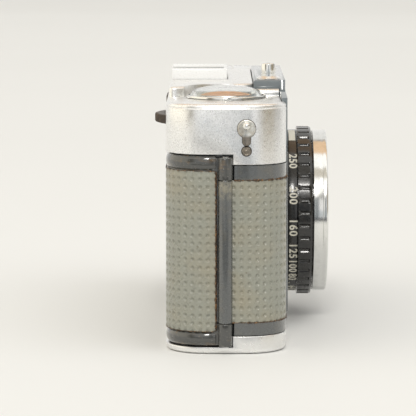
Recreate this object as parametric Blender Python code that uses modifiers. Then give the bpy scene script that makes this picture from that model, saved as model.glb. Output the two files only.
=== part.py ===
"""Half-frame viewfinder film camera, built as separate pieces that fit together.

Frame: +X is the photographer's left end (latch), -X the right end (hinge), the lens
looks along -Y, +Z is up and the origin is the centre of the base plate's underside.
Every design number below is in millimetres; objects are written in metres.
"""
import math

import bmesh
import bpy
from mathutils import Matrix, Vector

MM = 0.001
GAP = 0.2                    # gap between pieces that touch on the real camera

# Body outline
HALF_WIDTH = 57.5
HALF_DEPTH = 14.0
CORNER_R = 9.5               # plan corners
SPLIT_Y = -1.6               # front half ahead of this, hinge and back door behind
COVER_SHEET = 0.9

# Levels, from the base up
RIM_FRONT_Z = 4.1            # top of the base plate's front rim
RIM_REAR_Z = 1.5
DOOR_Z = (1.8, 45.9)
LEATHER_Z = (7.3, 40.2)
DOOR_LEATHER_Z = (5.2, 42.3)
COVER_FRONT_Z = 43.8         # lower edge of the top cover
COVER_REAR_Z = 46.2
LOW_TOP_Z = 57.7             # top of the low ends
RAISED_TOP_Z = 60.2          # top of the raised middle
HOUSING_TOP_Z = 61.2         # top of the fascia's finder housing
SHOULDER_Z = 59.2            # top of the cover's shoulder beside that housing
LEATHER = 0.5                # covering thickness
LEATHER_RECESS = 0.6

# Hinge of the back door
HINGE = Vector((-57.3, 0.2))
HINGE_R = 1.68
KNUCKLE_Z = (7.3, 40.1)      # the body's knuckle; the door's are above and below

# Lens, on an axis along -Y
LENS_Z = 26.7
SCALE_R = 20.2
GRIP_R = 21.0
FRONT_R = 20.1
LENS_FRONT = 25.0            # distance of the front ring ahead of the body's mid-plane

# Film transport
FILM_Y = 9.6
FRAME_W, FRAME_H = 18.0, 24.0
MODULE = 0.75
WIND_TEETH, SPROCKET_TEETH = 26, 20
WIND = Vector((-39.0, 2.1))
SPROCKET_ANGLE = math.radians(4.2)
SPROCKET_R = 6.05
WHEEL_R = 14.6
CARTRIDGE = Vector((40.4, 0.3))
CARTRIDGE_R = 12.7
SPOOL_ROOM_R = 11.0

# Controls
COUNTER = Vector((-36.6, 0.0))
COUNTER_R = 9.4
DOME_Z = 60.4                # crown of the counter's window
BUTTON = Vector((-23.5, -10.2))
BUTTON_TOP_Z = 65.0
TRIPOD = Vector((22.0, 0.0))
LUG_Y, LUG_Z = -4.6, 52.1
RIVET_Z = 46.95


# ---------------------------------------------------------------- scene and materials

for old in list(bpy.data.objects):
    bpy.data.objects.remove(old)

PARTS = bpy.data.collections.new("half_frame_camera")
TOOLS = bpy.data.collections.new("cutters")
for group in (PARTS, TOOLS):
    bpy.context.scene.collection.children.link(group)


def material(name, colour, roughness, metallic=0.0, transmission=0.0):
    """A Principled BSDF with one colour."""
    made = bpy.data.materials.new(name)
    made.use_nodes = True
    shader = made.node_tree.nodes["Principled BSDF"]
    shader.inputs["Base Color"].default_value = (*colour, 1.0)
    shader.inputs["Roughness"].default_value = roughness
    shader.inputs["Metallic"].default_value = metallic
    shader.inputs["Transmission Weight"].default_value = transmission
    return made


SATIN = material("satin_chrome", (0.66, 0.66, 0.63), 0.32, 1.0)
CHROME = material("bright_chrome", (0.80, 0.80, 0.78), 0.12, 1.0)
CASTING = material("grey_casting", (0.17, 0.17, 0.165), 0.38)
FRAME_GREY = material("door_enamel", (0.09, 0.09, 0.085), 0.2)
HIDE = material("grey_leatherette", (0.33, 0.31, 0.25), 0.6)
FASCIA = material("blue_grey_gloss", (0.17, 0.19, 0.20), 0.12)
BLACK = material("black_anodised", (0.015, 0.015, 0.015), 0.3)
STEEL = material("steel", (0.55, 0.55, 0.55), 0.3, 1.0)
BRASS = material("brass", (0.70, 0.52, 0.25), 0.3, 1.0)
PLASTIC = material("dark_plastic", (0.035, 0.028, 0.022), 0.45)
GLASS = material("glass", (0.85, 0.90, 0.90), 0.03, 0.0, 0.9)
CELL = material("cell_window", (0.70, 0.70, 0.62), 0.2)


# ------------------------------------------------------------------ building helpers

def place(name, data, look, pivot=(0, 0, 0)):
    """Link a new object, with its origin at a pivot given in millimetres."""
    made = bpy.data.objects.new(name, data)
    made.location = Vector(pivot) * MM
    if look is None:
        TOOLS.objects.link(made)
        made.hide_render = True
        made.display_type = "WIRE"
    else:
        PARTS.objects.link(made)
        data.materials.append(look)
    return made


def solid(name, bm, look=None, pivot=(0, 0, 0)):
    """Make an object of a bmesh in millimetres; with no material it is a cutter."""
    bmesh.ops.translate(bm, vec=-Vector(pivot), verts=bm.verts)
    bmesh.ops.scale(bm, vec=(MM, MM, MM), verts=bm.verts)
    bmesh.ops.recalc_face_normals(bm, faces=bm.faces)
    mesh = bpy.data.meshes.new(name)
    bm.to_mesh(mesh)
    bm.free()
    mesh.shade_smooth()
    mesh.set_sharp_from_angle(angle=math.radians(30))
    return place(name, mesh, look, pivot)


def round_edges(bm, chosen, radius, segments=3):
    """Round the edges for which chosen(edge) holds."""
    edges = [edge for edge in bm.edges if chosen(edge)]
    bmesh.ops.bevel(bm, geom=edges, offset=radius, segments=segments,
                    affect="EDGES", profile=0.5)


def box(low, high, upright_r=0.0, corners=None, segments=6):
    """A box whose upright edges are rounded; corners picks them by (x sign, y sign)."""
    low, high = Vector(low), Vector(high)
    middle = (low + high) / 2
    bm = bmesh.new()
    bmesh.ops.create_cube(bm, size=1.0)
    bmesh.ops.scale(bm, vec=high - low, verts=bm.verts)
    bmesh.ops.translate(bm, vec=middle, verts=bm.verts)

    def upright(edge):
        a, b = (vertex.co for vertex in edge.verts)
        sides = (int(math.copysign(1, a.x - middle.x)), int(math.copysign(1, a.y - middle.y)))
        return (a.xy - b.xy).length < 1e-6 and (corners is None or sides in corners)

    if upright_r:
        round_edges(bm, upright, upright_r, segments)
    return bm


def at_height(z):
    """An edge test: both ends lie at one height."""
    return lambda edge: all(abs(vertex.co.z - z) < 1e-4 for vertex in edge.verts)


def rod(radius, start, end, sides=32, end_radius=None):
    """A cylinder or cone between two points."""
    start, end = Vector(start), Vector(end)
    bm = bmesh.new()
    bmesh.ops.create_cone(bm, cap_ends=True, segments=sides, radius1=radius,
                          radius2=radius if end_radius is None else end_radius,
                          depth=(end - start).length)
    turn = Vector((0, 0, 1)).rotation_difference(end - start).to_matrix().to_4x4()
    bmesh.ops.transform(bm, verts=bm.verts,
                        matrix=Matrix.Translation((start + end) / 2) @ turn)
    return bm


def boolean(target, tool, operation):
    step = target.modifiers.new(operation.lower() + "_" + tool.name, "BOOLEAN")
    step.operation = operation
    step.solver = "EXACT"
    step.object = tool


def cut(target, *shapes):
    """Take bmesh shapes away from an object."""
    for number, shape in enumerate(shapes):
        boolean(target, solid(f"{target.name}_cut_{number}", shape), "DIFFERENCE")


def fuse(target, *shapes):
    """Add bmesh shapes to an object."""
    for number, shape in enumerate(shapes):
        boolean(target, solid(f"{target.name}_add_{number}", shape), "UNION")


def turned(name, profile, look, centre, along="Z", steps=28):
    """A turned piece. Profile points are (radius, distance along the axis), and run
    from the far end down the outer side, then back up the bore if there is one."""
    bm = bmesh.new()
    points = [bm.verts.new((radius * MM, 0, height * MM)) for radius, height in profile]
    closed = all(radius > 0 for radius, _ in profile)
    for first, second in zip(points, points[1:] + points[:1] if closed else points[1:]):
        bm.edges.new((first, second))
    mesh = bpy.data.meshes.new(name)
    bm.to_mesh(mesh)
    bm.free()
    made = place(name, mesh, look, centre)
    if along == "-Y":
        made.rotation_euler = (math.pi / 2, 0, 0)
    elif along == "-X":
        made.rotation_euler = (0, -math.pi / 2, 0)
    elif along == "X":
        made.rotation_euler = (0, math.pi / 2, 0)
    spin = made.modifiers.new("turn", "SCREW")
    spin.steps = spin.render_steps = steps
    spin.use_merge_vertices = True
    spin.merge_threshold = 1e-6
    spin.use_smooth_shade = True
    return made


def ring(bore, outer, near, far, lip=0.0):
    """The profile of a plain ring between two distances, its far rim chamfered."""
    return [(bore, far), (outer - lip, far), (outer, far - lip), (outer, near), (bore, near)] \
        if lip else [(bore, far), (outer, far), (outer, near), (bore, near)]


def plate(name, outlines, low, high, look, pivot=(0, 0), along="Z"):
    """A flat plate: closed outlines in the plane across the axis, the first one outside.
    Along Z an outline is (x, y); along -Y it is (x, z); along X it is (y, z)."""
    curve = bpy.data.curves.new(name, "CURVE")
    curve.dimensions = "2D"
    curve.fill_mode = "BOTH"
    curve.extrude = (high - low) / 2 * MM
    for outline in outlines:
        spline = curve.splines.new("POLY")
        spline.points.add(len(outline) - 1)
        for point, (across, up) in zip(spline.points, outline):
            point.co = ((across - pivot[0]) * MM, (up - pivot[1]) * MM, 0, 1)
        spline.use_cyclic_u = True
    middle = (low + high) / 2
    if along == "-Y":
        made = place(name, curve, look, (pivot[0], -middle, pivot[1]))
        made.rotation_euler = (math.pi / 2, 0, 0)
    elif along == "X":
        made = place(name, curve, look, (middle, pivot[0], pivot[1]))
        made.rotation_euler = (math.pi / 2, 0, math.pi / 2)
    else:
        made = place(name, curve, look, (pivot[0], pivot[1], middle))
    return made


def as_mesh(made):
    """Replace a curve object by a welded mesh object, so that it can be cut."""
    evaluated = made.evaluated_get(bpy.context.evaluated_depsgraph_get())
    mesh = bpy.data.meshes.new_from_object(evaluated)
    bm = bmesh.new()
    bm.from_mesh(mesh)
    bmesh.ops.remove_doubles(bm, verts=bm.verts, dist=1e-6)
    bmesh.ops.recalc_face_normals(bm, faces=bm.faces)
    bm.to_mesh(mesh)
    bm.free()
    bpy.context.view_layer.update()
    name, where, looks = made.name, made.matrix_world.copy(), list(made.data.materials)
    bpy.data.objects.remove(made)
    fresh = bpy.data.objects.new(name, mesh)
    fresh.matrix_world = where
    mesh.materials.clear()
    mesh.materials.append(looks[0])
    PARTS.objects.link(fresh)
    return fresh


def circle(centre, radius, count=32, start=0.0, sweep=math.tau):
    """Points round a circle, or along an arc of it."""
    closed = abs(sweep - math.tau) < 1e-6
    spans = count if closed else count - 1
    return [(centre[0] + radius * math.cos(start + sweep * step / spans),
             centre[1] + radius * math.sin(start + sweep * step / spans))
            for step in range(count)]


def toothed(centre, pitch_r, count, addendum, dedendum, pitch_half, slope, phase=0.0):
    """The outline of a gear or serrated wheel with straight-sided teeth."""
    outline = []
    for tooth in range(count):
        middle = phase + math.tau * tooth / count
        root_r, tip_r = pitch_r - dedendum, pitch_r + addendum
        root_half = (pitch_half + dedendum * slope) / pitch_r
        tip_half = (pitch_half - addendum * slope) / pitch_r
        for radius, turn in ((root_r, -root_half), (tip_r, -tip_half),
                             (tip_r, tip_half), (root_r, root_half)):
            outline.append((centre[0] + radius * math.cos(middle + turn),
                            centre[1] + radius * math.sin(middle + turn)))
    return outline


def plan_path(inset, side_a, side_b, rear):
    """The body's plan outline from one end wall round to the other or to the front.
    side_a and side_b are (x, y) points on it, and rear chooses the +Y corners."""
    sign = 1 if rear else -1
    half_w, half_d, radius = HALF_WIDTH - inset, HALF_DEPTH - inset, CORNER_R - inset
    points = [side_a]
    for side in (-1, 1):
        centre = (side * (half_w - radius), sign * (half_d - radius))
        start = math.pi if side < 0 else math.pi / 2 * sign
        arc = circle(centre, radius, 7, start, -sign * math.pi / 2)
        if min(side_a[0], side_b[0]) < centre[0] < max(side_a[0], side_b[0]):
            points += arc
    return points + [side_b]


def wall(name, path, z_low, z_high, thickness, look):
    """A thin upright sheet that follows a plan path and thickens towards the inside."""
    bm = bmesh.new()
    rows = [[bm.verts.new((x * MM, y * MM, z * MM)) for x, y in path]
            for z in (z_low, z_high)]
    for step in range(len(path) - 1):
        bm.faces.new((rows[0][step], rows[0][step + 1], rows[1][step + 1], rows[1][step]))
    first = next(iter(bm.faces))
    first.normal_update()
    if first.normal.dot(first.calc_center_median()) < 0:
        bmesh.ops.reverse_faces(bm, faces=bm.faces)
    mesh = bpy.data.meshes.new(name)
    bm.to_mesh(mesh)
    bm.free()
    mesh.shade_smooth()
    mesh.set_sharp_from_angle(angle=math.radians(30))
    made = place(name, mesh, look)
    skin = made.modifiers.new("sheet", "SOLIDIFY")
    skin.thickness = thickness * MM
    skin.offset = -1.0
    skin.use_even_offset = True
    return made


def hinge_tube(z_low, z_high):
    return rod(HINGE_R, (*HINGE, z_low), (*HINGE, z_high), 24)


def hinge_bore():
    return rod(0.95, (*HINGE, -2), (*HINGE, 50), 16)


# ------------------------------------------------------------------------ the body

FRONT_CORNERS = {(-1, -1), (1, -1)}
SPROCKET = WIND + Vector((math.cos(SPROCKET_ANGLE), math.sin(SPROCKET_ANGLE))) \
    * MODULE * (WIND_TEETH + SPROCKET_TEETH) / 2


def body_casting():
    """Front half, film chambers, film gate and the deck that the mechanism stands on."""
    inner = HALF_WIDTH - LEATHER_RECESS
    casting = solid("body_casting", box((-inner, -HALF_DEPTH + LEATHER_RECESS, 4.6),
                                        (inner, 1.8, 43.3), CORNER_R - LEATHER_RECESS,
                                        FRONT_CORNERS), CASTING)
    bands = [box((-HALF_WIDTH, -HALF_DEPTH, low), (HALF_WIDTH, 1.9, high),
                 CORNER_R, FRONT_CORNERS)
             for low, high in ((RIM_FRONT_Z + GAP, LEATHER_Z[0] - 0.1),
                               (LEATHER_Z[1] + 0.1, COVER_FRONT_Z - GAP))]
    rear_block = box((-55.2, -1.0, 1.7), (54.2, FILM_Y, 46.5), 5.0, {(-1, 1), (1, 1)})
    foot = box((-55.4, -12.6, 1.6), (55.4, 1.0, 8.0), 8.0, FRONT_CORNERS)
    deck = box((-55.4, -12.6, 41.0), (54.2, 1.0, 47.0), 8.0, FRONT_CORNERS)
    cartridge_deck = box((26.2, -12.6, 42.0), (54.1, FILM_Y - 0.1, 50.2), 6.0,
                         {(1, -1), (1, 1)})
    fuse(casting, *bands, rear_block, foot, deck, cartridge_deck)
    cut(casting,
        rod(CARTRIDGE_R, (*CARTRIDGE, 4.6), (*CARTRIDGE, 48.8), 30),
        box((28.2, CARTRIDGE.y, 4.7), (52.6, 15, 48.7)),
        rod(SPOOL_ROOM_R, (*WIND, 4.6), (*WIND, 45.6), 28),
        box((-49.8, WIND.y, 4.7), (-28.2, 15, 45.5)),
        box((-28.6, -3.9, 7.0), (-13.2, 15, 45.4)),
        rod(16.2, (0, -20, LENS_Z), (0, -5.3, LENS_Z), 32),
        box((-FRAME_W / 2, -8, LENS_Z - FRAME_H / 2), (FRAME_W / 2, 15, LENS_Z + FRAME_H / 2)),
        rod(2.3, (*CARTRIDGE, 47), (*CARTRIDGE, 52), 20),
        rod(1.8, (*WIND, 40), (*WIND, 50), 20),
        rod(2.0, (*SPROCKET, 40), (*SPROCKET, 50), 20),
        rod(1.6, (*SPROCKET, 0), (*SPROCKET, 10), 16),
        rod(2.8, (*SPROCKET, 0), (*SPROCKET, 2.8), 24),
        rod(5.3, (*TRIPOD, 0), (*TRIPOD, 6.3), 32),
        rod(1.2, (-46, -8, 0), (-46, -8, 4.2), 16),
        rod(1.2, (46, -8, 0), (46, -8, 4.2), 16),
        rod(HINGE_R + 0.4, (*HINGE, 0), (*HINGE, 50), 24),
        box((54.9, -2.6, 25.2), (56.5, 3, 31.2)))
    knuckle = box((HINGE.x, -0.6, KNUCKLE_Z[0]), (-55.0, 1.0, KNUCKLE_Z[1]))
    tube = hinge_tube(*KNUCKLE_Z)
    boolean(casting, solid("body_knuckle_leaf", knuckle), "UNION")
    boolean(casting, solid("body_knuckle", tube), "UNION")
    boolean(casting, solid("body_knuckle_bore", hinge_bore()), "DIFFERENCE")
    return casting


def raised_middle(name, inset, top, floor):
    """The raised part of the cover: its hinge-side face runs obliquely and curves back
    round the counter."""
    bm = box((-20, -13.7 + inset, floor), (31 - inset, 13.6 - inset, top - inset))
    for vertex in bm.verts:
        if vertex.co.x < 0:
            share = (vertex.co.y + 13.7) / 27.3
            vertex.co.x = -19.6 - 17.7 * share + inset
    round_edges(bm, lambda edge: (edge.verts[0].co.xy - edge.verts[1].co.xy).length < 1e-6,
                3.0 - inset, 4)
    round_edges(bm, at_height(top - inset), 0.9 if not inset else 0.4, 2)
    block = solid(name, bm)
    cut(block, rod(COUNTER_R + 0.7 + inset, (*COUNTER, floor - 1), (*COUNTER, top + 1), 40))
    return block


def top_cover():
    """Pressed cover with low ends and a raised middle, open underneath."""
    shell = box((-HALF_WIDTH, -HALF_DEPTH, COVER_FRONT_Z), (HALF_WIDTH, HALF_DEPTH, LOW_TOP_Z),
                CORNER_R, segments=6)
    round_edges(shell, at_height(LOW_TOP_Z), 1.2, 3)
    cover = solid("top_cover", shell, SATIN)
    boolean(cover, raised_middle("raised_outside", 0.0, RAISED_TOP_Z, 50.0), "UNION")
    shoulder = box((-30.1, -12.6, 57.2), (-25.0, -7.0, SHOULDER_Z))
    round_edges(shoulder, lambda edge: at_height(SHOULDER_Z)(edge)
                and max(vertex.co.x for vertex in edge.verts) < -30, 1.0, 3)
    fuse(cover, shoulder)
    hollow = box((-HALF_WIDTH + COVER_SHEET, -HALF_DEPTH + COVER_SHEET, 40),
                 (HALF_WIDTH - COVER_SHEET, HALF_DEPTH - COVER_SHEET, LOW_TOP_Z - COVER_SHEET),
                 CORNER_R - COVER_SHEET, segments=6)
    boolean(cover, raised_middle("raised_inside", COVER_SHEET, RAISED_TOP_Z, 47.0),
            "DIFFERENCE")
    cut(cover, hollow,
        box((-60, SPLIT_Y, 40), (60, 20, COVER_REAR_Z)),
        box((-27.7, -20, 56.0), (27.7, -6.4, 65)),
        box((-49.2, -20, 40), (44.2, -12.65, 62)),
        box((-48.95, 12.0, 52.0), (-29.05, 20, 54.7)),
        rod(8.3, (*COUNTER, 50), (*COUNTER, 65), 40),
        rod(2.5, (*CARTRIDGE, 50), (*CARTRIDGE, 65), 24),
        box((-5.4, 11, 49.4), (5.4, 20, 56.2)),
        box((-10.7, -0.6, 58.0), (10.7, 12.5, 65)),
        box((-10.7, 12.0, 59.45), (10.7, 20, 65)))
    return cover


def front_fascia():
    """Glossy front plate, with the housing over the finder behind its upper edge."""
    outline = [(-49, COVER_FRONT_Z + 0.1), (44, COVER_FRONT_Z + 0.1), (44, 58.3),
               (28, HOUSING_TOP_Z), (-27.5, HOUSING_TOP_Z), (-28.0, 58.9), (-49, 58.5)]
    fascia = as_mesh(plate("front_fascia", [outline], 12.85, 14.15, FASCIA, along="-Y"))
    housing = box((-27.5, -13.95, 56.2), (27.5, -6.6, HOUSING_TOP_Z))
    round_edges(housing, at_height(HOUSING_TOP_Z), 0.5, 2)
    fuse(fascia, housing)
    cut(fascia, box((-26.6, -12.6, 50), (26.6, -7.4, HOUSING_TOP_Z - 0.9)),
        rod(2.05, (*BUTTON, 55), (*BUTTON, 65), 24),
        box((-6.7, -20, 49.0), (6.7, -10, 56.6)),
        box((9.3, -20, 50.0), (15.7, -10, 55.6)))
    return fascia


def base_plate():
    """Pressed tray: a high rim round the front half and a low one under the door."""
    tray = box((-HALF_WIDTH, -HALF_DEPTH, 0), (HALF_WIDTH, HALF_DEPTH, RIM_FRONT_Z),
               CORNER_R, segments=6)
    round_edges(tray, at_height(0), 1.1, 3)
    base = solid("base_plate", tray, SATIN)
    cut(base,
        box((-HALF_WIDTH + 1, -HALF_DEPTH + 1, 1.3), (HALF_WIDTH - 1, HALF_DEPTH - 1, 9),
            CORNER_R - 1, segments=6),
        box((-60, SPLIT_Y, RIM_REAR_Z), (60, 20, 9)),
        rod(6.2, (*TRIPOD, -1), (*TRIPOD, 3), 40),
        rod(2.8, (*SPROCKET, -1), (*SPROCKET, 3), 24),
        rod(1.9, (-46, -8, -1), (-46, -8, 3), 20),
        rod(1.9, (46, -8, -1), (46, -8, 3), 20))
    return base


def leather(side):
    """Covering of one side of the front, from the end wall round to the front panel."""
    outer = LEATHER_RECESS - GAP / 2 - LEATHER
    path = plan_path(outer, (-HALF_WIDTH + outer, SPLIT_Y), (-23.5, -HALF_DEPTH + outer), False)
    if side < 0:
        return wall("leather_hinge_side", path, *LEATHER_Z, LEATHER, HIDE)
    covering = wall("leather_latch_side", [(-x, y) for x, y in path], *LEATHER_Z, LEATHER, HIDE)
    cut(covering, box((56, -6.2, 16.5), (60, -0.6, 34.6)))
    return covering


def front_panel():
    """Plate round the lens, standing proud of the covering."""
    shape = box((-23.0, -15.1, 4.4), (23.0, -14.2, 43.4))
    round_edges(shape, lambda edge: all(v.co.y < -15 for v in edge.verts), 0.4, 2)
    panel = solid("front_panel", shape, SATIN)
    cut(panel, rod(17.2, (0, -20, LENS_Z), (0, -10, LENS_Z), 36))
    return panel


# --------------------------------------------------------------- finder and top fittings

def finder():
    """Windows in the fascia, the optical tube and the eyepiece."""
    solid("finder_window", box((-6.5, -14.05, 49.2), (6.5, -13.05, 56.4)), GLASS)
    solid("bright_window", box((9.5, -14.05, 50.2), (15.5, -13.05, 55.4)), GLASS)
    tube = solid("finder_tube", box((-5.0, -12.4, 49.6), (5.0, 12.8, 56.0)), PLASTIC)
    cut(tube, box((-4.3, -15, 50.3), (4.3, 15, 55.3)))
    frame = solid("eyepiece_frame", box((-5.2, 12.95, 49.6), (5.2, 14.7, 56.0)), PLASTIC)
    cut(frame, box((-3.8, 10, 50.6), (3.8, 20, 55.0)))
    solid("eyepiece_lens", box((-3.6, 13.1, 50.8), (3.6, 14.1, 54.8)), GLASS)


def counter():
    """Bezel and domed window over the frame counter's dial."""
    centre = (*COUNTER, 0)
    turned("counter_bezel", [(8.9, 58.4), (9.2, 58.4), (COUNTER_R, 58.2),
                             (COUNTER_R, LOW_TOP_Z + 0.1), (8.9, LOW_TOP_Z + 0.1)],
           CHROME, centre, steps=32)
    turned("counter_window", [(0, DOME_Z), (4.8, DOME_Z - 0.1), (7.0, DOME_Z - 0.6),
                              (8.2, DOME_Z - 1.3), (8.7, DOME_Z - 2.0),
                              (8.7, LOW_TOP_Z + 0.1), (7.4, LOW_TOP_Z + 0.1),
                              (6.8, DOME_Z - 1.4), (4.6, DOME_Z - 0.9), (0, DOME_Z - 0.8)],
           GLASS, centre)
    turned("counter_dial", [(0, 56.4), (7.4, 56.4), (7.4, 55.9), (0.8, 55.9), (0.8, 55.1),
                            (0, 55.1)], PLASTIC, centre, steps=40)


def hot_shoe():
    """Accessory shoe: base, two side walls and the lips that hold a foot."""
    shoe = solid("hot_shoe", box((-10.5, -0.4, 59.6), (10.5, 13.3, 62.7)), STEEL)
    cut(shoe, box((-9.35, 0.5, 60.1), (9.35, 20, 62.1)), box((-6.3, 0.5, 61.0), (6.3, 20, 65)))
    solid("hot_shoe_contact", rod(2.2, (0, 6.5, 60.2), (0, 6.5, 60.6), 24), BRASS)


def strap_lug(side, label):
    """Keyhole plate on the end of the cover, its ball stud and the rivet below."""
    neck_half, head_r, foot_z = 0.9, 2.07, 49.1
    lean = math.asin(neck_half / head_r)
    head = circle((LUG_Y, LUG_Z), head_r, 25, -math.pi / 2 + lean, math.tau - 2 * lean)
    foot = circle((LUG_Y, foot_z), neck_half, 9, math.pi, math.pi)
    near, far = sorted((side * (HALF_WIDTH + 0.1), side * (HALF_WIDTH + 0.8)))
    plate("strap_lug_" + label, [head + foot], near, far, CHROME, along="X")
    along = "X" if side > 0 else "-X"
    turned("lug_stud_" + label, [(0, 2.1), (0.55, 1.98), (0.86, 1.7), (0.9, 1.45),
                                 (0.7, 1.12), (0.45, 0.95), (0, 0.95)], CHROME,
           (side * HALF_WIDTH, LUG_Y, LUG_Z + 0.7), along, 20)
    turned("lug_rivet_" + label, [(0, 0.75), (0.6, 0.62), (1.0, 0.3), (1.05, 0.1), (0, 0.1)],
           CHROME, (side * HALF_WIDTH, LUG_Y, RIVET_Z), along, 20)


def shutter_button():
    """Sprung release button and the collar it runs in."""
    turned("shutter_collar", [(1.98, 61.9), (2.2, 61.9), (2.9, HOUSING_TOP_Z + 0.1),
                              (1.98, HOUSING_TOP_Z + 0.1)], CHROME, (*BUTTON, 0), steps=32)
    turned("shutter_button", [(0, BUTTON_TOP_Z - 0.5), (0.8, BUTTON_TOP_Z - 0.4),
                              (1.45, BUTTON_TOP_Z), (1.75, BUTTON_TOP_Z - 0.3), (1.75, 54.6),
                              (0, 54.6)], CHROME, (*BUTTON, 0), steps=32)


# -------------------------------------------------------------------- lens and shutter

def lens():
    """Speed ring, chrome front ring, light cell, glass and the shutter behind."""
    centre = (0, 0, LENS_Z)
    turned("lens_barrel", [(14.9, 24.2), (16.8, 24.2), (16.8, 15.3), (15.9, 15.3), (15.9, 5.6),
                           (13.6, 5.6), (13.6, 22.3), (14.9, 22.3)], BLACK, centre, "-Y")
    turned("scale_ring", ring(17.0, SCALE_R, 15.3, 17.5), BLACK, centre, "-Y", 48)
    turned("grip_ring", [(17.0, 21.7), (20.3, 21.7), (GRIP_R, 20.7), (GRIP_R, 17.7),
                         (17.0, 17.7)], BLACK, centre, "-Y", 48)
    turned("front_ring", [(17.0, 24.7), (18.6, LENS_FRONT), (FRONT_R - 0.4, LENS_FRONT),
                          (FRONT_R, LENS_FRONT - 0.4), (FRONT_R - 0.1, 21.9), (17.0, 21.9)],
           CHROME, centre, "-Y", 48)
    turned("cell_window", ring(9.3, 14.7, 23.5, 24.2), CELL, centre, "-Y")
    turned("selenium_cell", ring(9.3, 14.7, 22.6, 23.1), STEEL, centre, "-Y")
    turned("lens_cell", [(6.3, 24.3), (9.1, 24.3), (9.1, 14.7), (5.2, 14.7), (5.2, 18.0),
                         (6.3, 18.0)], BLACK, centre, "-Y")
    turned("front_element", [(0, 22.9), (2.2, 22.75), (4.4, 22.2), (6.1, 21.3), (6.1, 19.2),
                             (0, 19.2)], GLASS, centre, "-Y", 40)
    turned("shutter_housing", [(6.4, 13.2), (13.3, 13.2), (13.3, 5.9), (5.0, 5.9), (5.0, 7.0),
                               (6.4, 7.0)], PLASTIC, centre, "-Y")
    turned("rear_element", [(0, 10.6), (6.2, 10.2), (6.2, 7.6), (0, 7.2)], GLASS, centre,
           "-Y", 32)


def shutter_blade(name, turn, near):
    """One of two blades that meet across the aperture and swing apart together."""
    pivot = Vector((-2.5, 9.8))
    blade_r, overlap = 5.6, 0.7
    outline = [(overlap, -5.4)] + circle((0, 0), blade_r, 12, -math.pi / 2 - 0.1,
                                         -math.pi * 0.8)
    outline += [(-3.6, 8.6)] + circle(pivot, 1.3, 8, math.pi, -math.pi)
    outline += [(-1.1, 5.4), (overlap, 5.5)]
    spun = [(math.cos(turn) * x - math.sin(turn) * y,
             math.sin(turn) * x + math.cos(turn) * y + LENS_Z) for x, y in outline]
    joint = (math.cos(turn) * pivot.x - math.sin(turn) * pivot.y,
             math.sin(turn) * pivot.x + math.cos(turn) * pivot.y + LENS_Z)
    return plate(name, [spun], near, near + 0.2, STEEL, joint, "-Y")


# ----------------------------------------------------------------------- film transport

def transport():
    """Thumbwheel, shaft, gears, take-up spool and film sprocket."""
    tooth = dict(addendum=0.9 * MODULE, dedendum=1.15 * MODULE,
                 pitch_half=math.pi * MODULE / 4 - 0.1, slope=math.tan(math.radians(20)))
    plate("thumbwheel", [toothed(WIND, WHEEL_R - 0.25, 45, 0.25, 0.25, 0.5, 0.6),
                         circle(WIND, 1.65, 20)], 52.3, 54.4, PLASTIC, WIND)
    plate("wind_gear", [toothed(WIND, MODULE * WIND_TEETH / 2, WIND_TEETH,
                                phase=SPROCKET_ANGLE, **tooth),
                        circle(WIND, 1.65, 20)], 48.0, 49.5, BRASS, WIND)
    half_pitch = math.pi / SPROCKET_TEETH
    plate("sprocket_gear", [toothed(SPROCKET, MODULE * SPROCKET_TEETH / 2, SPROCKET_TEETH,
                                    phase=SPROCKET_ANGLE + math.pi + half_pitch, **tooth),
                            circle(SPROCKET, 1.85, 20)], 48.0, 49.5, BRASS, SPROCKET)
    turned("wind_shaft", [(0, 54.9), (1.5, 54.9), (1.5, 5.8), (0, 5.8)], STEEL, (*WIND, 0),
           steps=24)
    turned("takeup_spool", [(1.7, 45.0), (9.5, 45.0), (9.5, 44.2), (5.6, 44.2), (5.6, 9.4),
                            (9.5, 9.4), (9.5, 8.4), (1.7, 8.4)], PLASTIC, (*WIND, 0))
    drum = turned("film_sprocket", [(0, 50.0), (1.7, 50.0), (1.7, 44.4), (SPROCKET_R, 44.4),
                                    (SPROCKET_R, 40.4), (4.2, 39.6), (4.2, 13.8),
                                    (SPROCKET_R, 13.0), (SPROCKET_R, 9.0), (1.4, 9.0),
                                    (1.4, 8.2), (0, 8.2)], STEEL, (*SPROCKET, 0), steps=20)
    for row, height in enumerate((11.2, 42.2)):
        rim = plate(f"sprocket_teeth_{row}", [toothed(SPROCKET, SPROCKET_R, 8, 1.0, 0.4, 0.7,
                                                      0.35)],
                    height - 0.7, height + 0.7, STEEL, SPROCKET)
        rim = as_mesh(rim)
        PARTS.objects.unlink(rim)
        TOOLS.objects.link(rim)
        rim.hide_render = True
        rim.display_type = "WIRE"
        boolean(drum, rim, "UNION")


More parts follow.
